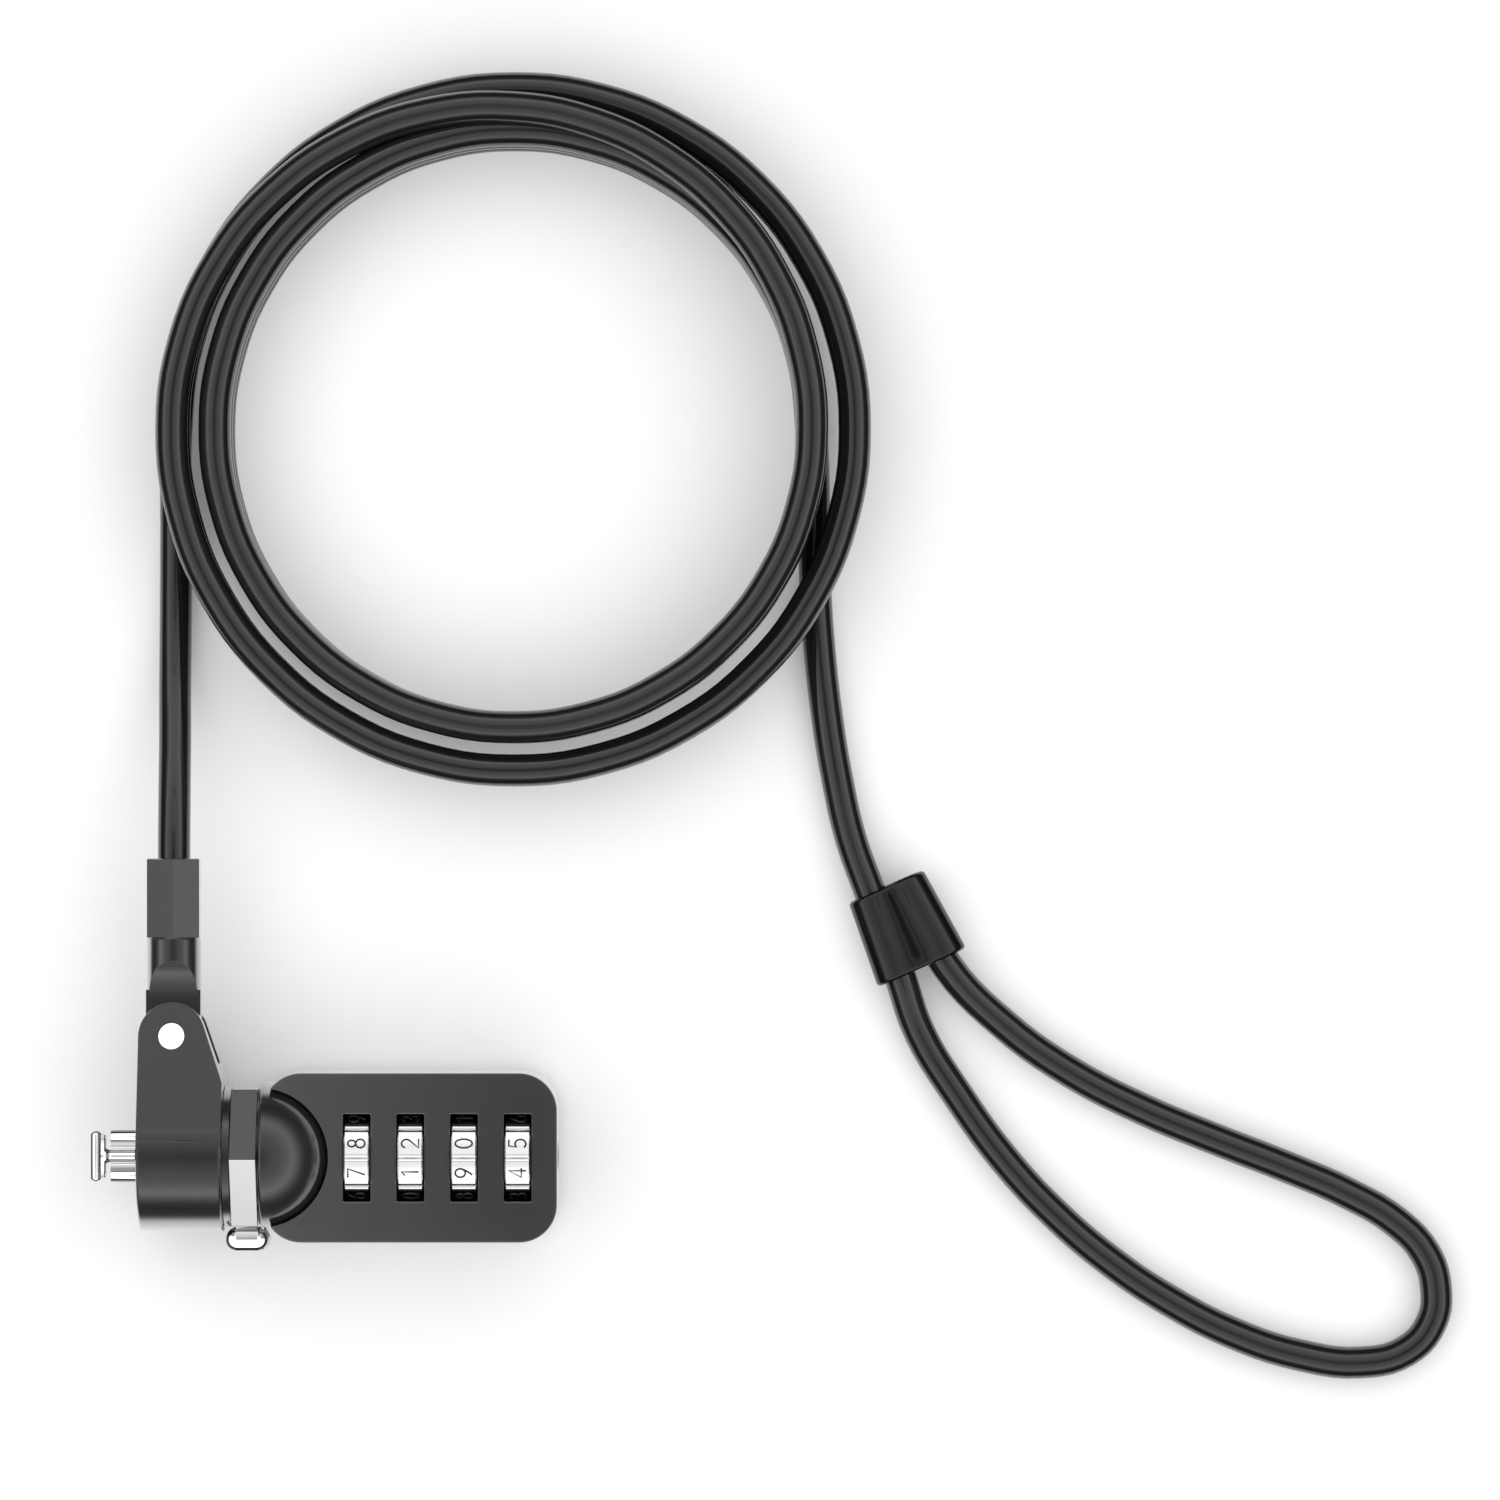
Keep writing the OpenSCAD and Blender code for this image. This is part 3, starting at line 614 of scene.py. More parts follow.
# ---- Studio ----
@dataclass
class Studio:
    """The table, the soft light overhead and the camera that looks straight down.

    Args:
        centre: the point under the camera.
        width: width of the table that the camera sees.
        lens: the camera's lens.
        sensor: width of the camera's sensor.
        table: radius of the table.
        sky: (angle from straight up in degrees, brightness) of the light overhead.
        strength: the light's strength.
        fill: the table's own glow.
        dim_from: slant at which the table starts to darken in reflections.
        dim_to: slant at which it is dark in them.
    """

    centre: Flat = (80.44, 53.6)
    width: float = 200.0
    lens: float = 192.0
    sensor: float = 36.0
    table: float = 4000.0
    sky: list[Flat] = field(default_factory=lambda: [
        (0.0, 0.22), (4.0, 0.30), (7.0, 1.15), (11.0, 1.20), (12.5, 0.50), (14.0, 1.35), (22.0, 1.9), (29.0, 2.2),
        (31.0, 1.1), (33.0, 2.3), (40.0, 2.5), (47.0, 2.6), (54.0, 3.5), (60.0, 2.0), (67.0, 0.75), (73.0, 0.18),
        (84.0, 0.05), (96.0, 0.05)])
    strength: float = 0.62
    fill: float = 0.15
    dim_from: float = 0.56
    dim_to: float = 0.80

    def camera(self) -> None:
        """Makes the camera and hands it to the scene."""
        data = bpy.data.cameras.new("camera")
        data.lens, data.sensor_width = self.lens, self.sensor
        data.clip_start, data.clip_end = 0.05, 20.0
        camera = bpy.data.objects.new("camera", data)
        bpy.context.scene.collection.objects.link(camera)
        height = self.width * self.lens / self.sensor
        camera.location = Vector((self.centre[0], self.centre[1], SIZES.table_z + height)) * MM
        bpy.context.scene.camera = camera

    def light(self) -> None:
        """Makes a soft dome of light that is brightest half-way down, and dark at the horizon."""
        world = bpy.data.worlds.new("soft_studio")
        world.use_nodes = True
        bpy.context.scene.world = world
        sheet = Sheet(world.node_tree)
        view = sheet.node("ShaderNodeTexCoord", {}, {}, "Generated")
        up = sheet.node("ShaderNodeSeparateXYZ", {}, {0: view}, "Z")
        angle = sheet.node("ShaderNodeMath", {"operation": "ARCCOSINE"}, {0: up})
        top = max(s for _, s in self.sky)
        stops = [(a / 180, s / top) for a, s in self.sky]
        glow = sheet.node("ShaderNodeValToRGB", {"stops": stops}, {0: angle * (1 / math.pi)}, "Color")
        seen = sheet.node("ShaderNodeLightPath", {}, {}, "Is Camera Ray")
        soft = sheet.node("ShaderNodeBackground", {}, {"Color": glow, "Strength": top * self.strength})
        plain = sheet.node("ShaderNodeBackground", {}, {"Color": (0.93, 0.93, 0.94, 1), "Strength": 1.0})
        both = sheet.node("ShaderNodeMixShader", {}, {0: seen, 1: soft, 2: plain})
        sheet.node("ShaderNodeOutputWorld", {}, {"Surface": both})
        bpy.context.scene.view_settings.view_transform = "Standard"

    def floor(self) -> None:
        """Lays the pale table."""
        outline = arc((self.centre[0], self.centre[1]), self.table, 0, 360 - 360 / 64, 63)
        table = extruded("studio_table", outline, SIZES.table_z - 2.0, SIZES.table_z - 0.01)
        made = bpy.data.materials.new("pale_table")
        made.use_nodes = True
        sheet = Sheet(made.node_tree)
        speck = sheet.noise(60, 2)
        colour = sheet.mixed(speck, (0.80, 0.80, 0.803), (0.815, 0.815, 0.818))
        shader = sheet.node("ShaderNodeBsdfPrincipled", {}, {
            "Base Color": colour, "Roughness": 0.85, "Specular IOR Level": 0.1,
            "Emission Color": (1, 1, 1, 1), "Emission Strength": self.fill})
        mirrored = sheet.node("ShaderNodeLightPath", {}, {}, "Is Glossy Ray")
        slant = sheet.node("ShaderNodeLayerWeight", {}, {"Blend": 0.5}, "Facing")
        far = sheet.node("ShaderNodeMapRange", {"interpolation_type": "SMOOTHSTEP"},
                         {"Value": slant, "From Min": self.dim_from, "From Max": self.dim_to})
        dim = sheet.node("ShaderNodeEmission", {}, {"Color": (0.05, 0.05, 0.05, 1)})
        both = sheet.node("ShaderNodeMixShader", {}, {0: mirrored * far, 1: shader, 2: dim})
        sheet.node("ShaderNodeOutputMaterial", {}, {"Surface": both})
        table.data.materials.append(made)

    def build(self) -> None:
        """Sets the whole studio up."""
        self.camera()
        self.light()
        self.floor()


# ---- Cable, fitting and sleeve ----
@dataclass
class Cable:
    """The steel cable in its jacket, from the fitting through the coil to the loop.

    Args:
        fitting_end: where the cable leaves its fitting.
        coil_centre: centre of the coil.
        outer_r: centre line radius of the coil's outer column.
        inner_r: centre line radius of its inner column.
        layer: height of one layer.
        turns: turns in the coil.
        crossing: turns after which the cable goes over to the inner column.
        per_turn: points in one turn.
    """

    fitting_end: float = 39.3
    coil_centre: Flat = (49.2, 96.0)
    outer_r: float = 45.1
    inner_r: float = 39.4
    layer: float = 1.05 * SIZES.cable_d
    turns: float = 5.5
    crossing: float = 2.0
    per_turn: int = 24

    @property
    def floor(self) -> float:
        """Height of the centre line of a cable that lies on the table."""
        return SIZES.table_z + SIZES.cable_d / 2

    @property
    def lane(self) -> float:
        """Height of the centre line in the sleeve."""
        return self.floor + 1.15

    def lead(self) -> list[Spot]:
        """Points from inside the fitting to the coil's start."""
        end, floor = self.fitting_end, self.floor
        return [(4.4, end - 1, 0), (4.4, end + 1.6, -0.03), (4.4, end + 4.5, -0.35), (4.35, end + 10, -1.7),
                (4.25, end + 16, -3.9), (4.1, end + 22, floor + 2.2), (4.05, end + 28, floor + 0.7),
                (4.05, end + 34, floor), (4.1, 84, floor)]

    def level(self, turn: float) -> float:
        """The layer that the coil lies on after some turns.

        Args:
            turn: turns since the coil's left-most point.

        Returns:
            The layer, from 0 on the table.
        """
        whole, part = divmod(turn, 1.0)
        if turn < self.crossing + 0.5:
            return whole + smooth_step(part * 2)
        return max(0.0, 5 - whole - smooth_step(part * 2 - 1))

    def coil(self) -> list[Spot]:
        """Points of the coil, clockwise from its left-most point."""
        points = []
        count = round(self.turns * self.per_turn)
        for i in range(count + 1):
            turn = i / self.per_turn
            over = smooth_step((turn - self.crossing) * 2)
            radius = self.outer_r + (self.inner_r - self.outer_r) * over
            a = math.tau * turn
            points.append((self.coil_centre[0] - radius * math.cos(a), self.coil_centre[1] + radius * math.sin(a),
                           self.floor + self.level(turn) * self.layer))
        return points

    def tail(self) -> list[Spot]:
        """Points from the coil to the sleeve."""
        flat = [(89.1, 76, 0), (89.6, 68, 0), (90.7, 58, 0), (92.1, 49.5, 0), (93.8, 42, 0.5)]
        return [(x, y, self.floor + h) for x, y, h in flat] + [(96.2, 35.2, self.lane), (98.2, 30, self.lane)]

    def loop(self) -> list[Spot]:
        """Points from the sleeve round the loop and back into it."""
        flat = [(103, 16, 0.2), (108, 7.8, 0), (114.4, -1, 0), (121.1, -8.2, 0), (128.5, -14.5, 0),
                (136.3, -19.7, 0), (144.7, -24, 0), (153.5, -26.9, 0), (161.6, -27.9, 0), (167.7, -26.4, 0),
                (171.1, -22.6, 0), (171.7, -17.8, 0), (170.2, -13.2, 0), (166.3, -9.1, 0), (159.8, -5.3, 0),
                (151.9, -1.9, 0), (142.4, 1.8, 0), (132.7, 5.8, 0), (123, 10.8, 0), (114.2, 17.1, 0.4)]
        path = [(x, y, self.floor + h) for x, y, h in flat]
        return [(100.3, 23.8, self.lane)] + path + [(106.6, 25, self.lane), (102.6, 33.2, self.lane)]

    def build(self, sleeve: bpy.types.Object) -> bpy.types.Object:
        """Args:
            sleeve: the piece that holds the cable's far end; not used.

        Returns:
            The cable, a curve of one open spline.
        """
        data = bpy.data.curves.new("lock_cable", "CURVE")
        data.dimensions = "3D"
        data.bevel_depth = SIZES.cable_d / 2 * MM
        data.bevel_resolution = 6
        data.use_fill_caps = True
        data.resolution_u = 5
        points = self.lead() + self.coil() + self.tail() + self.loop()
        spline = data.splines.new("BEZIER")
        spline.bezier_points.add(len(points) - 1)
        for knot, point in zip(spline.bezier_points, points):
            knot.co = Vector(point) * MM
            knot.handle_left_type = knot.handle_right_type = "AUTO"
        cable = bpy.data.objects.new("lock_cable", data)
        bpy.context.scene.collection.objects.link(cable)
        dress(cable, VINYL, Body.CABLE_END, "cable_jacket", "cable_lead", "cable_coil", "cable_tail", "cable_loop")
        return cable


@dataclass
class Sleeve:
    """The flared oval sleeve that closes the loop.

    Args:
        centre: the sleeve's middle on the table.
        heading: direction of its axis from +X, in degrees.
        length: its length along the cable.
        wall: its wall round the cable.
        narrow: distance between the cable's lanes at the coil's end.
        wide: distance between them at the loop's end.
        lip: rounding of its ends.
        crown: how much flatter it is over the lanes than in the middle.
    """

    centre: Flat = (100.9, 30.1)
    heading: float = -66.0
    length: float = 11.8
    wall: float = 1.1
    narrow: float = SIZES.cable_d + 0.1
    wide: float = 6.4
    lip: float = 0.55
    crown: float = 0.13

    def oval(self, along: float, radius: float) -> list[Spot]:
        """One ring of the sleeve.

        Args:
            along: distance from the sleeve's middle.
            radius: radius of the ring's two round ends.

        Returns:
            The ring's points.
        """
        share = along / self.length + 0.5
        half = (self.narrow + (self.wide - self.narrow) * share) / 2
        ends = arc((half, 0), radius, -90, 90, 20) + [(half * (1 - t / 5), radius) for t in range(1, 10)]
        ends += arc((-half, 0), radius, 90, 270, 20) + [(half * (t / 5 - 1), -radius) for t in range(1, 10)]
        fall = self.crown if radius > SIZES.cable_d / 2 + self.wall / 2 else 0.0
        return [(along, y, z * (1 - fall * min(1.0, abs(y) / half) ** 2)) for y, z in ends]

    def build(self) -> bpy.types.Object:
        """Makes the sleeve.

        Returns:
            The sleeve.
        """
        inner = SIZES.cable_d / 2 + SIZES.run
        outer = SIZES.cable_d / 2 + self.wall
        half, lip = self.length / 2, self.lip
        easing = [(lip * (1 - math.sin(math.radians(a))), lip * (1 - math.cos(math.radians(a))))
                  for a in (0, 15, 30, 45, 60, 75, 90)]
        profile = [(-half + b, outer - d) for d, b in easing]
        rings = [self.oval(-half, inner + 0.25), self.oval(-half + 0.25, inner), self.oval(0, inner),
                 self.oval(half - 0.25, inner), self.oval(half, inner + 0.25)]
        rings += [self.oval(-x, r) for x, r in profile]
        rings += [self.oval(t * half, outer) for t in (0.66, 0.33, 0, -0.33, -0.66)]
        rings += [self.oval(x, r) for x, r in reversed(profile)]
        place = (Matrix.Translation((*self.centre, SIZES.table_z + outer))
                 @ Matrix.Rotation(math.radians(self.heading), 4, "Z"))
        sleeve = rings_to_piece("loop_sleeve_shell", rings, place, wrapped=True)
        eased(sleeve, 0, corner=50)
        return dress(sleeve, SLEEVE_BLACK, Body.CABLE_END, "sleeve_gloss", "loop_sleeve")


@dataclass
class Fitting:
    """The fitting on the cable's end: an eye between the ears, a milled stem and a hexagon crimp.

    Args:
        eye: the rivet's place.
        tongue: thickness of the eye.
        stem_r: radius of the stem and the eye.
        stem_reach: from the rivet to the stem's end.
        mill_r: radius of the milled hollows.
        crimp_af: width across flats of the crimp.
        crimp_len: its length.
        rivet_r: radius of the rivet's shank.
    """

    eye: Flat = (4.4, 16.0)
    tongue: float = 3.4
    stem_r: float = 3.6
    stem_reach: float = 12.8
    mill_r: float = 8.0
    crimp_af: float = 6.9
    crimp_len: float = 10.5
    rivet_r: float = 1.15

    def stem(self) -> bpy.types.Object:
        """The round stem, milled down to the tongue from above and below."""
        x, y = self.eye
        start, end = y + 4.4, y + self.stem_reach
        ease = 0.15
        profile = [(start, 0), (start, self.stem_r), (end - ease, self.stem_r), (end, self.stem_r - ease), (end, 0)]
        stem = turned("stem", profile, Direction.Y, (x, 0, 0))
        for side in (-1, 1):
            height = side * (self.tongue / 2 + self.mill_r - 0.02)
            mill = rod("mill", -6, 6, self.mill_r, at=(x, start + 0.2, height), steps=128)
            worked(stem, Blend.CUT, mill)
        return stem

    def build(self) -> bpy.types.Object:
        """Makes the fitting.

        Returns:
            The fitting as one piece.
        """
        x, y = self.eye
        half, reach = self.tongue / 2, y + 6
        outline = arc((x, y), self.stem_r, 180, 360, 40) + [(x + self.stem_r, reach), (x - self.stem_r, reach)]
        eye = extruded("cable_fitting_shell", outline, -half, half)
        worked(eye, Blend.JOIN, self.stem())
        low, high, ease = y + self.stem_reach, y + self.stem_reach + self.crimp_len, 0.2
        corner = self.crimp_af / 2 / math.cos(math.radians(30))
        profile = [(low - 0.3, 0), (low - 0.3, corner - 0.6), (low, corner - 0.6), (low, corner - ease),
                   (low + ease / 2, corner), (high - ease / 2, corner), (high, corner - ease), (high, 0)]
        crimp = turned("crimp", profile, Direction.Y, (x, 0, 0), 6)
        worked(eye, Blend.JOIN, crimp)
        bore = SIZES.cable_d / 2 + SIZES.run
        hole = turned("hole", [(high - 8, 0), (high - 8, bore), (high - 0.25, bore), (high + 0.1, bore + 0.35),
                               (high + 1, bore + 0.35), (high + 1, 0)], Direction.Y, (x, 0, 0))
        shank = rod("shank", -9, 9, self.rivet_r + 0.05, Direction.Z, (x, y, 0), 48)
        worked(eye, Blend.CUT, hole, shank)
        eased(eye, 0.05, 2)
        return dress(eye, SATIN_BLACK, Body.CABLE_END, "head_black", "cable_fitting")


# ---- Yoke ----
@dataclass
class Yoke:
    """The barrel that swivels on the core, with the two ears that hold the cable's fitting.

    Args:
        eye: the rivet's place.
        tip_r: radius of an ear's tip.
        taper: angle between an ear's outer face and the middle plane, in degrees.
        fork: gap between the ears.
        slot_y: bottom of that gap.
        rivet_r: radius of the rivet's shank.
        rivet_head_r: radius of its head.
        rim: chamfer of the barrel's ends.
        nose_r: radius of the core's nose in the barrel's front.
        nose_end: right end of that nose.
        pocket_r: radius of the pocket round it.
        pocket: depth of the pocket.
        journal_r: radius of the core's journal.
    """

    eye: Flat = (4.4, 16.0)
    tip_r: float = 4.4
    taper: float = 19.0
    fork: float = 3.8
    slot_y: float = 12.2
    rivet_r: float = 1.15
    rivet_head_r: float = 1.7
    rim: float = 0.4
    nose_r: float = 4.6
    nose_end: float = 3.1
    pocket_r: float = 6.2
    pocket: float = 1.6
    journal_r: float = 7.45

    def wedge_half(self, y: float) -> float:
        """Half the ears' thickness at a height over the lock's axis."""
        slope = math.radians(self.taper)
        return (SIZES.head_r - 0.04) / math.cos(slope) - y * math.tan(slope)

    def ears(self) -> bpy.types.Object:
        """The teardrop ears, before the fork is cut."""
        x, y = self.eye
        shoulder = (SIZES.yoke_len, SIZES.head_r)
        dx, dy = x - shoulder[0], y - shoulder[1]
        start = math.degrees(math.atan2(dy, dx) - math.asin(self.tip_r / math.hypot(dx, dy))) - 90
        outline = [(0, 0), (SIZES.yoke_len, 0), shoulder] + arc((x, y), self.tip_r, start, 180, 40)
        ears = extruded("ears", outline, -SIZES.head_r, SIZES.head_r)
        low = SIZES.head_r * math.sin(math.radians(self.taper)) - 1
        high = y + self.tip_r + 0.5
        sides = [(0, self.wedge_half(low)), (low, self.wedge_half(low)), (high, self.wedge_half(high))]
        wedge = extruded("wedge", [(a, -b) for a, b in sides] + [(a, b) for a, b in reversed(sides)],
                         -1, SIZES.yoke_len + 1, Direction.X)
        return worked(ears, Blend.KEEP, wedge)

    def build(self) -> bpy.types.Object:
        """Makes the yoke.

        Returns:
            The yoke as one piece.
        """
        r, length, rim = SIZES.head_r, SIZES.yoke_len, self.rim
        profile = [(0, 0), (0, r - rim), (0.12, r - 0.12), (rim, r), (length - rim, r), (length - 0.12, r - 0.12),
                   (length, r - rim), (length, 0)]
        yoke = turned("yoke_shell", profile, steps=160)
        worked(yoke, Blend.JOIN, self.ears())
        run = SIZES.run
        bore = turned("bore", [(-1, 0), (-1, self.pocket_r), (self.pocket, self.pocket_r),
                               (self.pocket, self.nose_r + run), (self.nose_end - 0.1, self.nose_r + run),
                               (self.nose_end - 0.1, self.journal_r + run), (length + 1, self.journal_r + run),
                               (length + 1, 0)])
        half = self.fork / 2
        fork = extruded("fork", [(-1, self.slot_y), (length + 1, self.slot_y), (length + 1, 30), (-1, 30)],
                        -half, half)
        seat = self.wedge_half(self.eye[1] + self.rivet_head_r) - 0.4
        head = self.rivet_head_r + 0.03
        profile = [(-seat - 9, 0), (-seat - 9, head), (-seat, head), (-seat, self.rivet_r), (seat, self.rivet_r),
                   (seat, head), (seat + 9, head), (seat + 9, 0)]
        shank = turned("shank", profile, Direction.Z, (*self.eye, 0), 64)
        worked(yoke, Blend.CUT, bore, fork, shank)
        eased(yoke, 0.14, 2, 30)
        return dress(yoke, SATIN_BLACK, Body.YOKE, "head_black", "yoke")


# ---- Dome and housing ----
@dataclass
class Dome:
    """The ball-shaped collar between the ring and the housing, and the mouth where it enters the housing.

    Args:
        gap: clearance to the turn ring.
        rim: rounding of the collar's left rim.
        spigot_r: radius of the bore at the left.
        thread_r: radius of the bore at the right.
        bore_end: where the wider bore ends.
        end: right end of the collar.
        mouth_r: radius of the round mouth in the housing's face.
        skin: thickness of the ball's seat in that mouth.
    """

    gap: float = 0.2
    rim: float = 0.5
    spigot_r: float = 5.02
    thread_r: float = 4.02
    bore_end: float = 20.15
    end: float = 24.1
    mouth_r: float = 9.25
    skin: float = 0.15

    def build(self) -> bpy.types.Object:
        """Makes the collar.

        Returns:
            The collar as one piece.
        """
        c, r, left = SIZES.dome_c, SIZES.head_r, SIZES.dome_c + self.gap
        rim_arc = arc((left + self.rim, r - self.rim - 0.02), self.rim, 180, 96, 8)
        first = math.degrees(math.acos((left + self.rim - c) / r)) - 0.2
        last = math.degrees(math.acos((self.end - c) / r))
        ball = arc((c, 0), r, first, last, 48)
        bore = [(self.end, self.thread_r), (self.bore_end, self.thread_r), (self.bore_end, self.spigot_r)]
        profile = [(left, self.spigot_r)] + rim_arc + ball + bore
        dome = turned("dome_collar_shell", profile, steps=144)
        eased(dome, 0, corner=40)
        return dress(dome, SATIN_BLACK, Body.LOCK, "head_black", "dome_collar")

    def seat(self) -> bpy.types.Object:
        """Makes the last of the ball, which shows between the collar and the housing's face.

        Returns:
            The seat as one piece.
        """
        low = math.degrees(math.asin(self.mouth_r / SIZES.head_r)) + 0.6
        start = self.end - 0.5
        outer, inner = SIZES.head_r - 0.01, SIZES.head_r - self.skin
        profile = arc((0, 0), outer, 45, low, 24) + arc((0, 0), inner, low, 45, 24)
        seat = turned("dome_seat", profile, Direction.Z, (SIZES.dome_c, 0, 0), 192)
        fence = extruded("fence", [(start, -12), (start + 4, -12), (start + 4, 12), (start, 12)], 1, 10)
        worked(seat, Blend.KEEP, fence)
        eased(seat, 0, corner=50)
        return dress(seat, SATIN_BLACK, Body.LOCK, "head_black")

    def mouth(self) -> bpy.types.Object:
        """The cutter for the round mouth in the housing's face."""
        low = math.sqrt(SIZES.head_r ** 2 - self.mouth_r ** 2)
        return rod("mouth", low, low + 9, self.mouth_r, Direction.Z, (SIZES.dome_c, 0, 0), 192)


@dataclass
class Housing:
    """The dial housing with its four windows.

    Args:
        left: left end of the housing.
        right: right end.
        half_w: half its width.
        corner: radius of its corners.
        face: height of its top face.
        parting: height where the base plate starts.
        wall: its side wall.
        top: its top plate.
        bevel: rounding of the top face's rim.
        window_len: length of a window.
        window_w: width of a window.
        window_rim: chamfer round a window.
        reset_r: radius of the reset screw.
        reset_start: inner end of the screw's hole.
    """

    left: float = 16.45
    right: float = 55.1
    half_w: float = 11.15
    corner: float = 5.0
    face: float = 5.5
    parting: float = -6.9
    wall: float = 1.4
    top: float = 1.2
    bevel: float = 0.35
    window_len: float = 11.6
    window_w: float = 3.7
    window_rim: float = 0.12
    reset_r: float = 2.0
    reset_start: float = 50.0

    def outline(self, inset: float) -> list[Flat]:
        """The housing's outline for an inset."""
        return rounded_box(self.left + inset, self.right - inset, inset - self.half_w, self.half_w - inset,
                           self.corner - inset, 16)

    def window(self, x: float) -> bpy.types.Object:
        """The cutter for one window."""
        def hole(inset: float) -> list[Flat]:
            """The window's outline for an inset."""
            return rounded_box(x - self.window_w / 2 + inset, x + self.window_w / 2 - inset,
                               inset - self.window_len / 2, self.window_len / 2 - inset, 0.25 - inset, 4)
        rim = self.window_rim
        return stacked("window", hole, [(0, 0), (self.face - rim, 0), (self.face, -rim), (self.face + 1, -rim)])

    def build(self, dome: Dome) -> bpy.types.Object:
        """Makes the housing's shell.

        Args:
            dome: the collar whose mouth is cut in the housing.

        Returns:
            The shell as one piece.
        """
        rim = [(self.face - self.bevel * (1 - math.sin(a)), self.bevel * (1 - math.cos(a)))
               for a in (0, math.pi / 8, math.pi / 4, 3 * math.pi / 8, math.pi / 2)]
        shell = stacked("housing_shell", self.outline, [(self.parting, 0.05), (self.parting + 0.05, 0)] + rim)
        hollow = extruded("hollow", self.outline(self.wall), self.parting - 1, self.face - self.top)
        bore = self.reset_r + 0.05
        reset = rod("reset", self.reset_start, self.right + 1, bore, steps=64)
        worked(shell, Blend.CUT, hollow)
        ball = turned("ball", arc((SIZES.dome_c, 0), SIZES.head_r + 0.01, 180, 0, 64), steps=144)
        worked(shell, Blend.CUT, ball, dome.mouth(), reset, *[self.window(x) for x in SIZES.wheel_x])
        eased(shell, 0, corner=28)
        return dress(shell, HOUSING_BLACK, Body.LOCK, "housing_black", "housing_top")


# ---- Number wheels ----
STROKES: dict[int, list[list[Flat]]] = {
    0: [arc((0.31, 0.5), (0.28, 0.5), 90, 450, 20)],
    1: [[(0.16, 0.80), (0.38, 1.0), (0.38, 0.0)]],
    2: [arc((0.30, 0.71), (0.27, 0.29), 165, -35, 12) + [(0.03, 0.0), (0.60, 0.0)]],
    3: [arc((0.29, 0.74), (0.24, 0.26), 150, -90, 12), arc((0.29, 0.24), (0.28, 0.24), 90, -150, 12)],
    4: [[(0.46, 0.0), (0.46, 1.0), (0.02, 0.27), (0.62, 0.27)]],
    5: [[(0.54, 1.0), (0.15, 1.0), (0.08, 0.56)] + arc((0.28, 0.32), (0.29, 0.32), 125, -140, 14)],
    6: [arc((0.31, 0.30), (0.28, 0.30), 180, -180, 20), [(0.03, 0.30), (0.10, 0.53), (0.26, 0.80), (0.42, 1.0)]],
    7: [[(0.03, 1.0), (0.58, 1.0), (0.20, 0.0)]],
    8: [arc((0.31, 0.77), (0.21, 0.23), 90, 450, 16), arc((0.31, 0.27), (0.27, 0.27), 90, 450, 18)],
    9: [arc((0.31, 0.70), (0.28, 0.30), 0, 360, 20), [(0.59, 0.70), (0.52, 0.47), (0.36, 0.20), (0.20, 0.0)]],
}


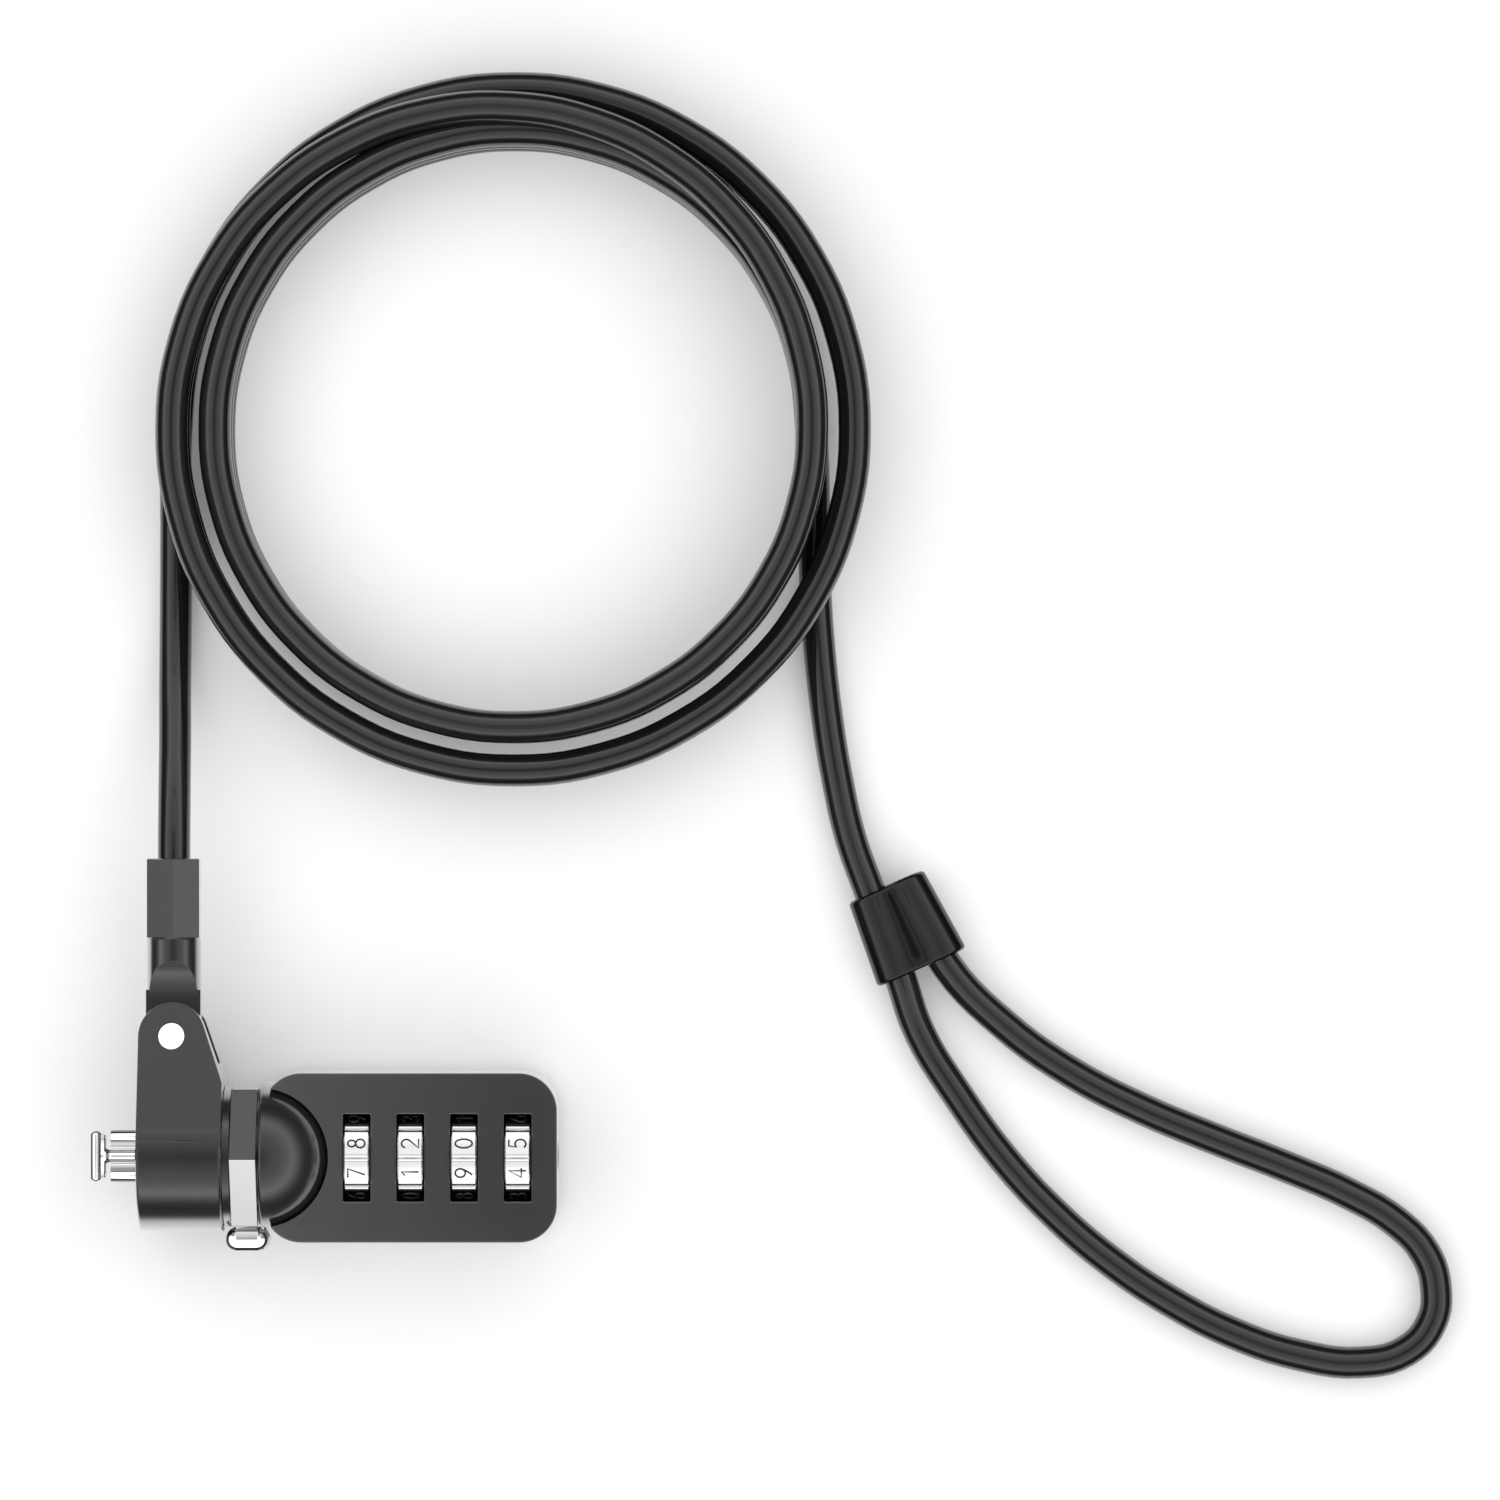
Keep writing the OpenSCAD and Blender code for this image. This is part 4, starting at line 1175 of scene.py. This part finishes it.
@dataclass
class NumberWheels:
    """The four number wheels, each a ring of ten faces with a groove between them.

    Args:
        facets: faces round a wheel.
        steps: chords across one face.
        width: width of the rim.
        bore_r: radius of the bore.
        shoulder: depth of the shoulders beside a groove.
        shoulder_w: their width, in degrees.
        line: depth of the thin groove between them.
        line_w: half its width, in degrees.
        crown: how much a face bulges.
        chamfer: chamfer of the rim's sides.
        digit_h: height of a number.
        stroke_r: half a stroke's width.
        lower: the number on the face under the middle line, for each wheel.
    """

    facets: int = 10
    steps: int = 72
    width: float = 3.3
    bore_r: float = 4.02
    shoulder: float = 0.22
    shoulder_w: float = 4.4
    line: float = 0.25
    line_w: float = 1.1
    crown: float = 0.12
    chamfer: float = 0.15
    digit_h: float = 2.25
    stroke_r: float = 0.125
    lower: tuple[int, ...] = (7, 1, 9, 4)

    def surface_r(self, degrees: float) -> float:
        """Radius of the rim at an angle from a face's middle.

        Args:
            degrees: the angle.

        Returns:
            The radius there.
        """
        half = 180 / self.facets
        flat = SIZES.wheel_r * math.cos(math.radians(half))
        plane = flat / math.cos(math.radians(degrees)) - self.crown * (degrees / half) ** 2
        off = half - abs(degrees)
        shoulder = smooth_step(1 - off / self.shoulder_w)
        return plane - self.shoulder * shoulder - self.line * max(0.0, 1 - off / self.line_w)

    def sector(self, x: float) -> bpy.types.Object:
        """One tenth of a wheel, open where it meets its neighbours."""
        half = 180 / self.facets
        angles = [-half + 2 * half * i / self.steps for i in range(self.steps + 1)]
        sides = [(-1, self.bore_r, 0), (-1, None, self.chamfer), (-1 + 2 * self.chamfer / self.width, None, 0),
                 (1 - 2 * self.chamfer / self.width, None, 0), (1, None, self.chamfer), (1, self.bore_r, 0)]
        bm = bmesh.new()
        rows = []
        for degrees in angles:
            a = math.radians(degrees)
            row = []
            for side, radius, drop in sides:
                r = self.surface_r(degrees) - drop if radius is None else radius
                row.append(bm.verts.new((x + side * self.width / 2, r * math.sin(a), r * math.cos(a))))
            rows.append(row)
        for low, high in zip(rows, rows[1:]):
            for i in range(len(sides)):
                j = (i + 1) % len(sides)
                bm.faces.new((low[i], low[j], high[j], high[i]))
        return piece_of("wheel_sector", bm)

    def numbers(self, x: float, lower: int) -> bpy.types.Object:
        """The numbers' centre lines on all faces of one wheel."""
        bm = bmesh.new()
        step = 360 / self.facets
        for k in range(self.facets):
            middle = step / 2 + step * k
            for stroke in STROKES[(lower + 1 + k) % 10]:
                spots = []
                for across, up in stroke:
                    side = (across - 0.31) * self.digit_h
                    degrees = math.degrees(math.atan2(side, SIZES.wheel_r))
                    a, r = math.radians(middle + degrees), self.surface_r(degrees)
                    spots.append(bm.verts.new((x - (up - 0.5) * self.digit_h, r * math.sin(a), r * math.cos(a))))
                for p, q in zip(spots, spots[1:]):
                    bm.edges.new((p, q))
        bm.transform(Matrix.Scale(MM, 4))
        mesh = bpy.data.meshes.new("wheel_numbers")
        bm.to_mesh(mesh)
        bm.free()
        return new_piece("wheel_numbers", mesh)

    def tree(self) -> bpy.types.NodeTree:
        """The node group that repeats a face round the wheel and draws the numbers' strokes."""
        group = bpy.data.node_groups.new("number_wheel", "GeometryNodeTree")
        face = group.interface
        face.new_socket("Face", in_out="INPUT", socket_type="NodeSocketGeometry")
        face.new_socket("Faces Round", in_out="INPUT", socket_type="NodeSocketInt")
        face.new_socket("Numbers", in_out="INPUT", socket_type="NodeSocketObject")
        face.new_socket("Stroke Radius", in_out="INPUT", socket_type="NodeSocketFloat")
        face.new_socket("Metal", in_out="INPUT", socket_type="NodeSocketMaterial")
        face.new_socket("Paint", in_out="INPUT", socket_type="NodeSocketMaterial")
        face.new_socket("Wheel", in_out="OUTPUT", socket_type="NodeSocketGeometry")
        sheet = Sheet(group)
        given = group.nodes.new("NodeGroupInput").outputs
        take = {socket.name: Signal(sheet, socket) for socket in given if socket.name}
        line = sheet.node("GeometryNodeMeshLine", {}, {"Count": take["Faces Round"], "Offset": (0, 0, 0)})
        index = sheet.node("GeometryNodeInputIndex", {}, {})
        turn = sheet.node("ShaderNodeMath", {"operation": "DIVIDE"}, {0: index, 1: take["Faces Round"]})
        angle = sheet.node("ShaderNodeCombineXYZ", {}, {"X": turn * math.tau + math.pi / self.facets})
        copies = sheet.node("GeometryNodeInstanceOnPoints", {},
                            {"Points": line, "Instance": take["Face"], "Rotation": angle})
        real = sheet.node("GeometryNodeRealizeInstances", {}, {0: copies})
        closed = sheet.node("GeometryNodeMergeByDistance", {}, {"Geometry": real, "Distance": 2e-6})
        rim = sheet.node("GeometryNodeSetMaterial", {}, {"Geometry": closed, "Material": take["Metal"]})
        drawn = sheet.node("GeometryNodeObjectInfo", {}, {"Object": take["Numbers"]}, "Geometry")
        lines = sheet.node("GeometryNodeMeshToCurve", {}, {"Mesh": drawn})
        pen = sheet.node("GeometryNodeCurvePrimitiveCircle", {}, {"Resolution": 6, "Radius": take["Stroke Radius"]})
        strokes = sheet.node("GeometryNodeCurveToMesh", {},
                             {"Curve": lines, "Profile Curve": pen, "Fill Caps": True})
        inked = sheet.node("GeometryNodeSetMaterial", {}, {"Geometry": strokes, "Material": take["Paint"]})
        join = group.nodes.new("GeometryNodeJoinGeometry")
        group.links.new(rim.socket, join.inputs[0])
        group.links.new(inked.socket, join.inputs[0])
        group.links.new(join.outputs[0], group.nodes.new("NodeGroupOutput").inputs[0])
        return group

    def build(self) -> None:
        """Makes the four wheels, each on its own body."""
        group = self.tree()
        ids = {item.name: item.identifier for item in group.interface.items_tree if item.in_out == "INPUT"}
        for number, (x, lower) in enumerate(zip(SIZES.wheel_x, self.lower), 1):
            wheel, numbers = self.sector(x), self.numbers(x, lower)
            wheel.name = f"number_wheel_{number}_rim"
            modifier = wheel.modifiers.new("wheel", "NODES")
            modifier.node_group = group
            modifier[ids["Faces Round"]] = self.facets
            modifier[ids["Numbers"]] = numbers
            modifier[ids["Stroke Radius"]] = self.stroke_r * MM
            modifier[ids["Metal"]] = NICKEL.material()
            modifier[ids["Paint"]] = NUMBER_PAINT.material()
            evaluated(wheel)
            bpy.data.objects.remove(numbers)
            eased(wheel, 0, corner=30)
            settle(wheel, f"wheel_{number}", "wheel_nickel", f"number_wheel_{number}")


# ---- T-bar, guide posts, ring and lever ----
@dataclass
class TurnBar:
    """The T-bar with the ring and the lever that turn it.

    Args:
        head_len: length of the T-head.
        head_w: its width.
        head_corner: rounding of its corners.
        plate: thickness of its front plate.
        step: thickness of its back step.
        inset: how much the back step stands back.
        bulge: how much the front plate's sides are crowned.
        front: its front face.
        stem_r: radius of the stem.
        stem_end: right end of the stem.
        seat_r: radius of the ring's seat.
        lever_t: thickness of the lever's cladding.
        relief: clearance between the thumb knob and the dome.
        cut: angle of the cuts on the ring's left side, in degrees.
        knob_x: the thumb knob's left and right ends.
        knob_y: its inner and outer sides.
        knob_z: its underside and its top.
    """

    head_len: float = 6.6
    head_w: float = 2.7
    head_corner: float = 0.45
    plate: float = 1.3
    step: float = 0.6
    inset: float = 0.45
    bulge: float = 0.30
    front: float = -6.5
    stem_r: float = 0.75
    stem_end: float = 12.5
    seat_r: float = 7.35
    lever_t: float = 0.8
    relief: float = 0.1
    cut: float = 10.0
    knob_x: Flat = (11.3, 16.85)
    knob_y: Flat = (-12.4, -9.6)
    knob_z: Flat = (-2.0, 2.0)

    def head(self, inset: float) -> list[Flat]:
        """The T-head's outline, across and up, for an inset."""
        long, short = self.head_len / 2 - inset, self.head_w / 2 - inset
        return rounded_box(-long, long, -short, short, max(0.1, self.head_corner - inset), 6)

    def t_bar(self) -> bpy.types.Object:
        """The T-bar: front plate, back step, conical root and stem."""
        x0, x1 = self.front, self.front + self.plate
        x2, ease, steps = x1 + self.step, 0.16, 10
        levels = [(x0, self.bulge + 0.1)]
        levels += [(x0 + 0.02 + (self.plate - 0.04) * i / steps, self.bulge * (2 * i / steps - 1) ** 2)
                   for i in range(steps + 1)]
        levels += [(x1, self.bulge + 0.1), (x1, self.inset), (x2 - ease, self.inset), (x2, self.inset + ease)]
        bar = stacked("t_bar_shell", self.head, levels, Direction.X.value)
        root = [(x2 - 0.6, 0), (x2 - 0.6, 1.05), (x2, 1.05)]
        root += [(x2 + t * 0.9, self.stem_r + 0.3 * (1 - t) ** 2) for t in (0.2, 0.4, 0.6, 0.8, 1.0)]
        stem = turned("stem", root + [(self.stem_end, self.stem_r), (self.stem_end, 0)], steps=48)
        worked(bar, Blend.JOIN, stem)
        eased(bar, 0, corner=35)
        return dress(bar, CHROME, Body.TURN_BAR, "chrome", "t_bar")

    def hexagon(self, name: str, across: float, low: float, high: float) -> bpy.types.Object:
        """A hexagon bar along X with corners up and down."""
        corner = across / 2 / math.cos(math.radians(30))
        angles = [math.radians(60 * k) for k in range(6)]
        outline = [(corner * math.sin(a), corner * math.cos(a)) for a in angles]
        return extruded(name, outline, low, high, Direction.X)

    def side_cuts(self) -> list[bpy.types.Object]:
        """Cutters for the slanting cuts at the top and bottom of the ring's left side."""
        height = SIZES.ring_af / 2 * math.tan(math.radians(30))
        slope = math.tan(math.radians(self.cut))
        swap_yz = Matrix(((1, 0, 0, 0), (0, 0, 1, 0), (0, 1, 0, 0), (0, 0, 0, 1)))
        cutters = []
        for side in (1, -1):
            outline = [(SIZES.ring_x, side * height), (SIZES.ring_x - 4, side * height),
                       (SIZES.ring_x - 4, side * FAR), (SIZES.ring_x + (FAR - height) * slope, side * FAR)]
            rings = [[(x, z, y) for x, z in outline] for y in (-FAR, FAR)]
            cutters.append(rings_to_piece("side_cut", rings, swap_yz))
        return cutters

    def ring(self) -> bpy.types.Object:
        """The black half of the turn ring, and the core of its other half."""
        x0, x1 = SIZES.ring_x, SIZES.ring_x + SIZES.ring_w
        ring = self.hexagon("turn_ring_shell", SIZES.ring_af, x0, x1)
        worked(ring, Blend.CUT, *self.side_cuts())
        half = extruded("half", [(-FAR, -FAR), (0, -FAR), (0, FAR), (-FAR, FAR)], x0 - 1, x1 + 1, Direction.X)
        inner = self.hexagon("inner", SIZES.ring_af - 2 * self.lever_t, x0 - 2, x1 + 2)
        worked(ring, Blend.CUT, worked(half, Blend.CUT, inner))
        bore = self.seat_r + SIZES.run
        worked(ring, Blend.CUT, rod("bore", x0 - 1, x1 + 1, bore))
        eased(ring, 0.08, 2)
        return dress(ring, SATIN_BLACK, Body.TURN_BAR, "head_black", "turn_ring")

    def knob_outline(self, inset: float) -> list[Flat]:
        """The thumb knob's outline from above, for an inset."""
        (x0, x1), (y0, y1) = self.knob_x, self.knob_y
        radius = (y1 - y0) / 2 - inset
        y = (y0 + y1) / 2
        right = arc((x1 - inset - radius, y), radius, -90, 90, 14)
        return right + arc((x0 + inset + radius, y), radius, 90, 270, 14)

    def knob(self) -> bpy.types.Object:
        """The thumb knob: a flange, a body and a hipped top."""
        low, high = self.knob_z
        flange = [(low - 0.3, 0.0), (low - 0.22, -0.12), (low - 0.1, -0.15), (low + 0.05, -0.15),
                  (low + 0.17, -0.1), (low + 0.2, 0.05)]
        top = [(high - 0.75, 0.0), (high - 0.7, 0.02), (high - 0.38, 0.34), (high - 0.3, 0.44), (high, 1.36)]
        return stacked("knob", self.knob_outline, flange + top)

    def lever(self) -> bpy.types.Object:
        """The bright lever that clads one half of the ring and carries the thumb knob."""
        x0, x1 = SIZES.ring_x, SIZES.ring_x + SIZES.ring_w
        lever = self.hexagon("turn_lever_shell", SIZES.ring_af, x0, x1)
        worked(lever, Blend.CUT, *self.side_cuts(),
               self.hexagon("inner", SIZES.ring_af - 2 * self.lever_t, x0 - 2, x1 + 2),
               extruded("half", [(0, -FAR), (FAR, -FAR), (FAR, FAR), (0, FAR)], x0 - 1, x1 + 1, Direction.X))
        neck_top = self.knob_z[1] - 0.9
        neck = extruded("neck", [(x0 + 0.35, -10.2), (x1 - 0.35, -10.2), (x1 - 0.35, -8.7), (x0 + 0.35, -8.7)],
                        -1.65, neck_top)
        start, end, hollow = SIZES.dome_c, self.knob_x[1] + 2, SIZES.head_r + self.relief
        over_dome = rod("over_dome", start, end, hollow, steps=144)
        worked(lever, Blend.JOIN, neck, worked(self.knob(), Blend.CUT, over_dome))
        eased(lever, 0.07, 2, 34)
        return dress(lever, CHROME, Body.TURN_BAR, "chrome", "turn_lever")

    def build(self) -> None:
        """Makes the bar, the ring and the lever."""
        self.t_bar()
        self.ring()
        self.lever()


@dataclass
class GuidePosts:
    """The two pins beside the T-bar that stop the lock from turning in its slot.

    Args:
        radius: radius of a pin.
        pitch: distance between the pins' axes.
        length: length in front of the yoke.
        root: how deep a pin sits in the core.
        web: inner edge of the web.
        web_t: half the web's thickness.
    """

    radius: float = 0.85
    pitch: float = 5.1
    length: float = 3.95
    root: float = 1.2
    web: float = 0.95
    web_t: float = 0.6

    def build(self) -> bpy.types.Object:
        """Makes both posts as one piece.

        Returns:
            The posts.
        """
        bm = bmesh.new()
        mesh = bpy.data.meshes.new("guide_posts_shell")
        for side in (-1, 1):
            y, ease = side * self.pitch / 2, 0.12
            pin = turned("pin", [(-self.length, 0), (-self.length, self.radius - ease),
                                 (-self.length + ease * 0.3, self.radius - ease * 0.3),
                                 (-self.length + ease, self.radius), (self.root, self.radius), (self.root, 0)],
                         at=(0, y, 0), steps=40)
            near, far = sorted((side * self.web, y))
            outline = rounded_box(near, far, -self.web_t, self.web_t, 0.18, 4)
            worked(pin, Blend.JOIN, extruded("web", outline, -self.length, 0, Direction.X))
            bm.from_mesh(pin.data)
            bpy.data.objects.remove(pin)
        bm.to_mesh(mesh)
        bm.free()
        posts = new_piece("guide_posts_shell", mesh)
        eased(posts, 0, corner=30)
        return dress(posts, CHROME, Body.LOCK, "chrome", "guide_posts")


# ---- Small parts that keep their CAD shape ----
@dataclass(frozen=True)
class SmallParts:
    """The small parts inside the lock, which only need their finishes."""

    finishes: dict[str, Finish] = field(default_factory=lambda: {
        "hinge_rivet": CHROME, "core_barrel": SATIN_BLACK, "nose_circlip": STEEL, "swivel_washer": BRASS,
        "core_nut": BRASS, "housing_base": HOUSING_BLACK, "base_screws": STEEL, "spindle_plate": BRASS,
        "hub_spacers": STEEL, "wheel_detent_spring": STEEL, "spindle_spring": STEEL, "turn_shaft": STEEL,
        "drive_pin": STEEL, "shaft_circlip": STEEL, "locking_spindle": BRASS, "reset_screw": STEEL,
        "wheel_hub_1": DARK_STEEL, "wheel_hub_2": DARK_STEEL, "wheel_hub_3": DARK_STEEL, "wheel_hub_4": DARK_STEEL})

    def dress(self) -> None:
        """Puts each part's finish into all of its material slots."""
        for name, finish in self.finishes.items():
            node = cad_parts[name]
            if not node.material_slots:
                node.data.materials.append(None)
            for slot in node.material_slots:
                slot.link = "OBJECT"
                slot.material = finish.material()
            log.info("%s is dressed in %s", name, finish.name)


def main() -> None:
    """Builds the studio and the lock."""
    logging.basicConfig(level=logging.INFO, format="%(message)s")
    Studio().build()
    Cable().build(Sleeve().build())
    Fitting().build()
    Yoke().build()
    dome = Dome()
    dome.build()
    dome.seat()
    Housing().build(dome)
    NumberWheels().build()
    TurnBar().build()
    GuidePosts().build()
    SmallParts().dress()


if __name__ == "__main__":
    main()
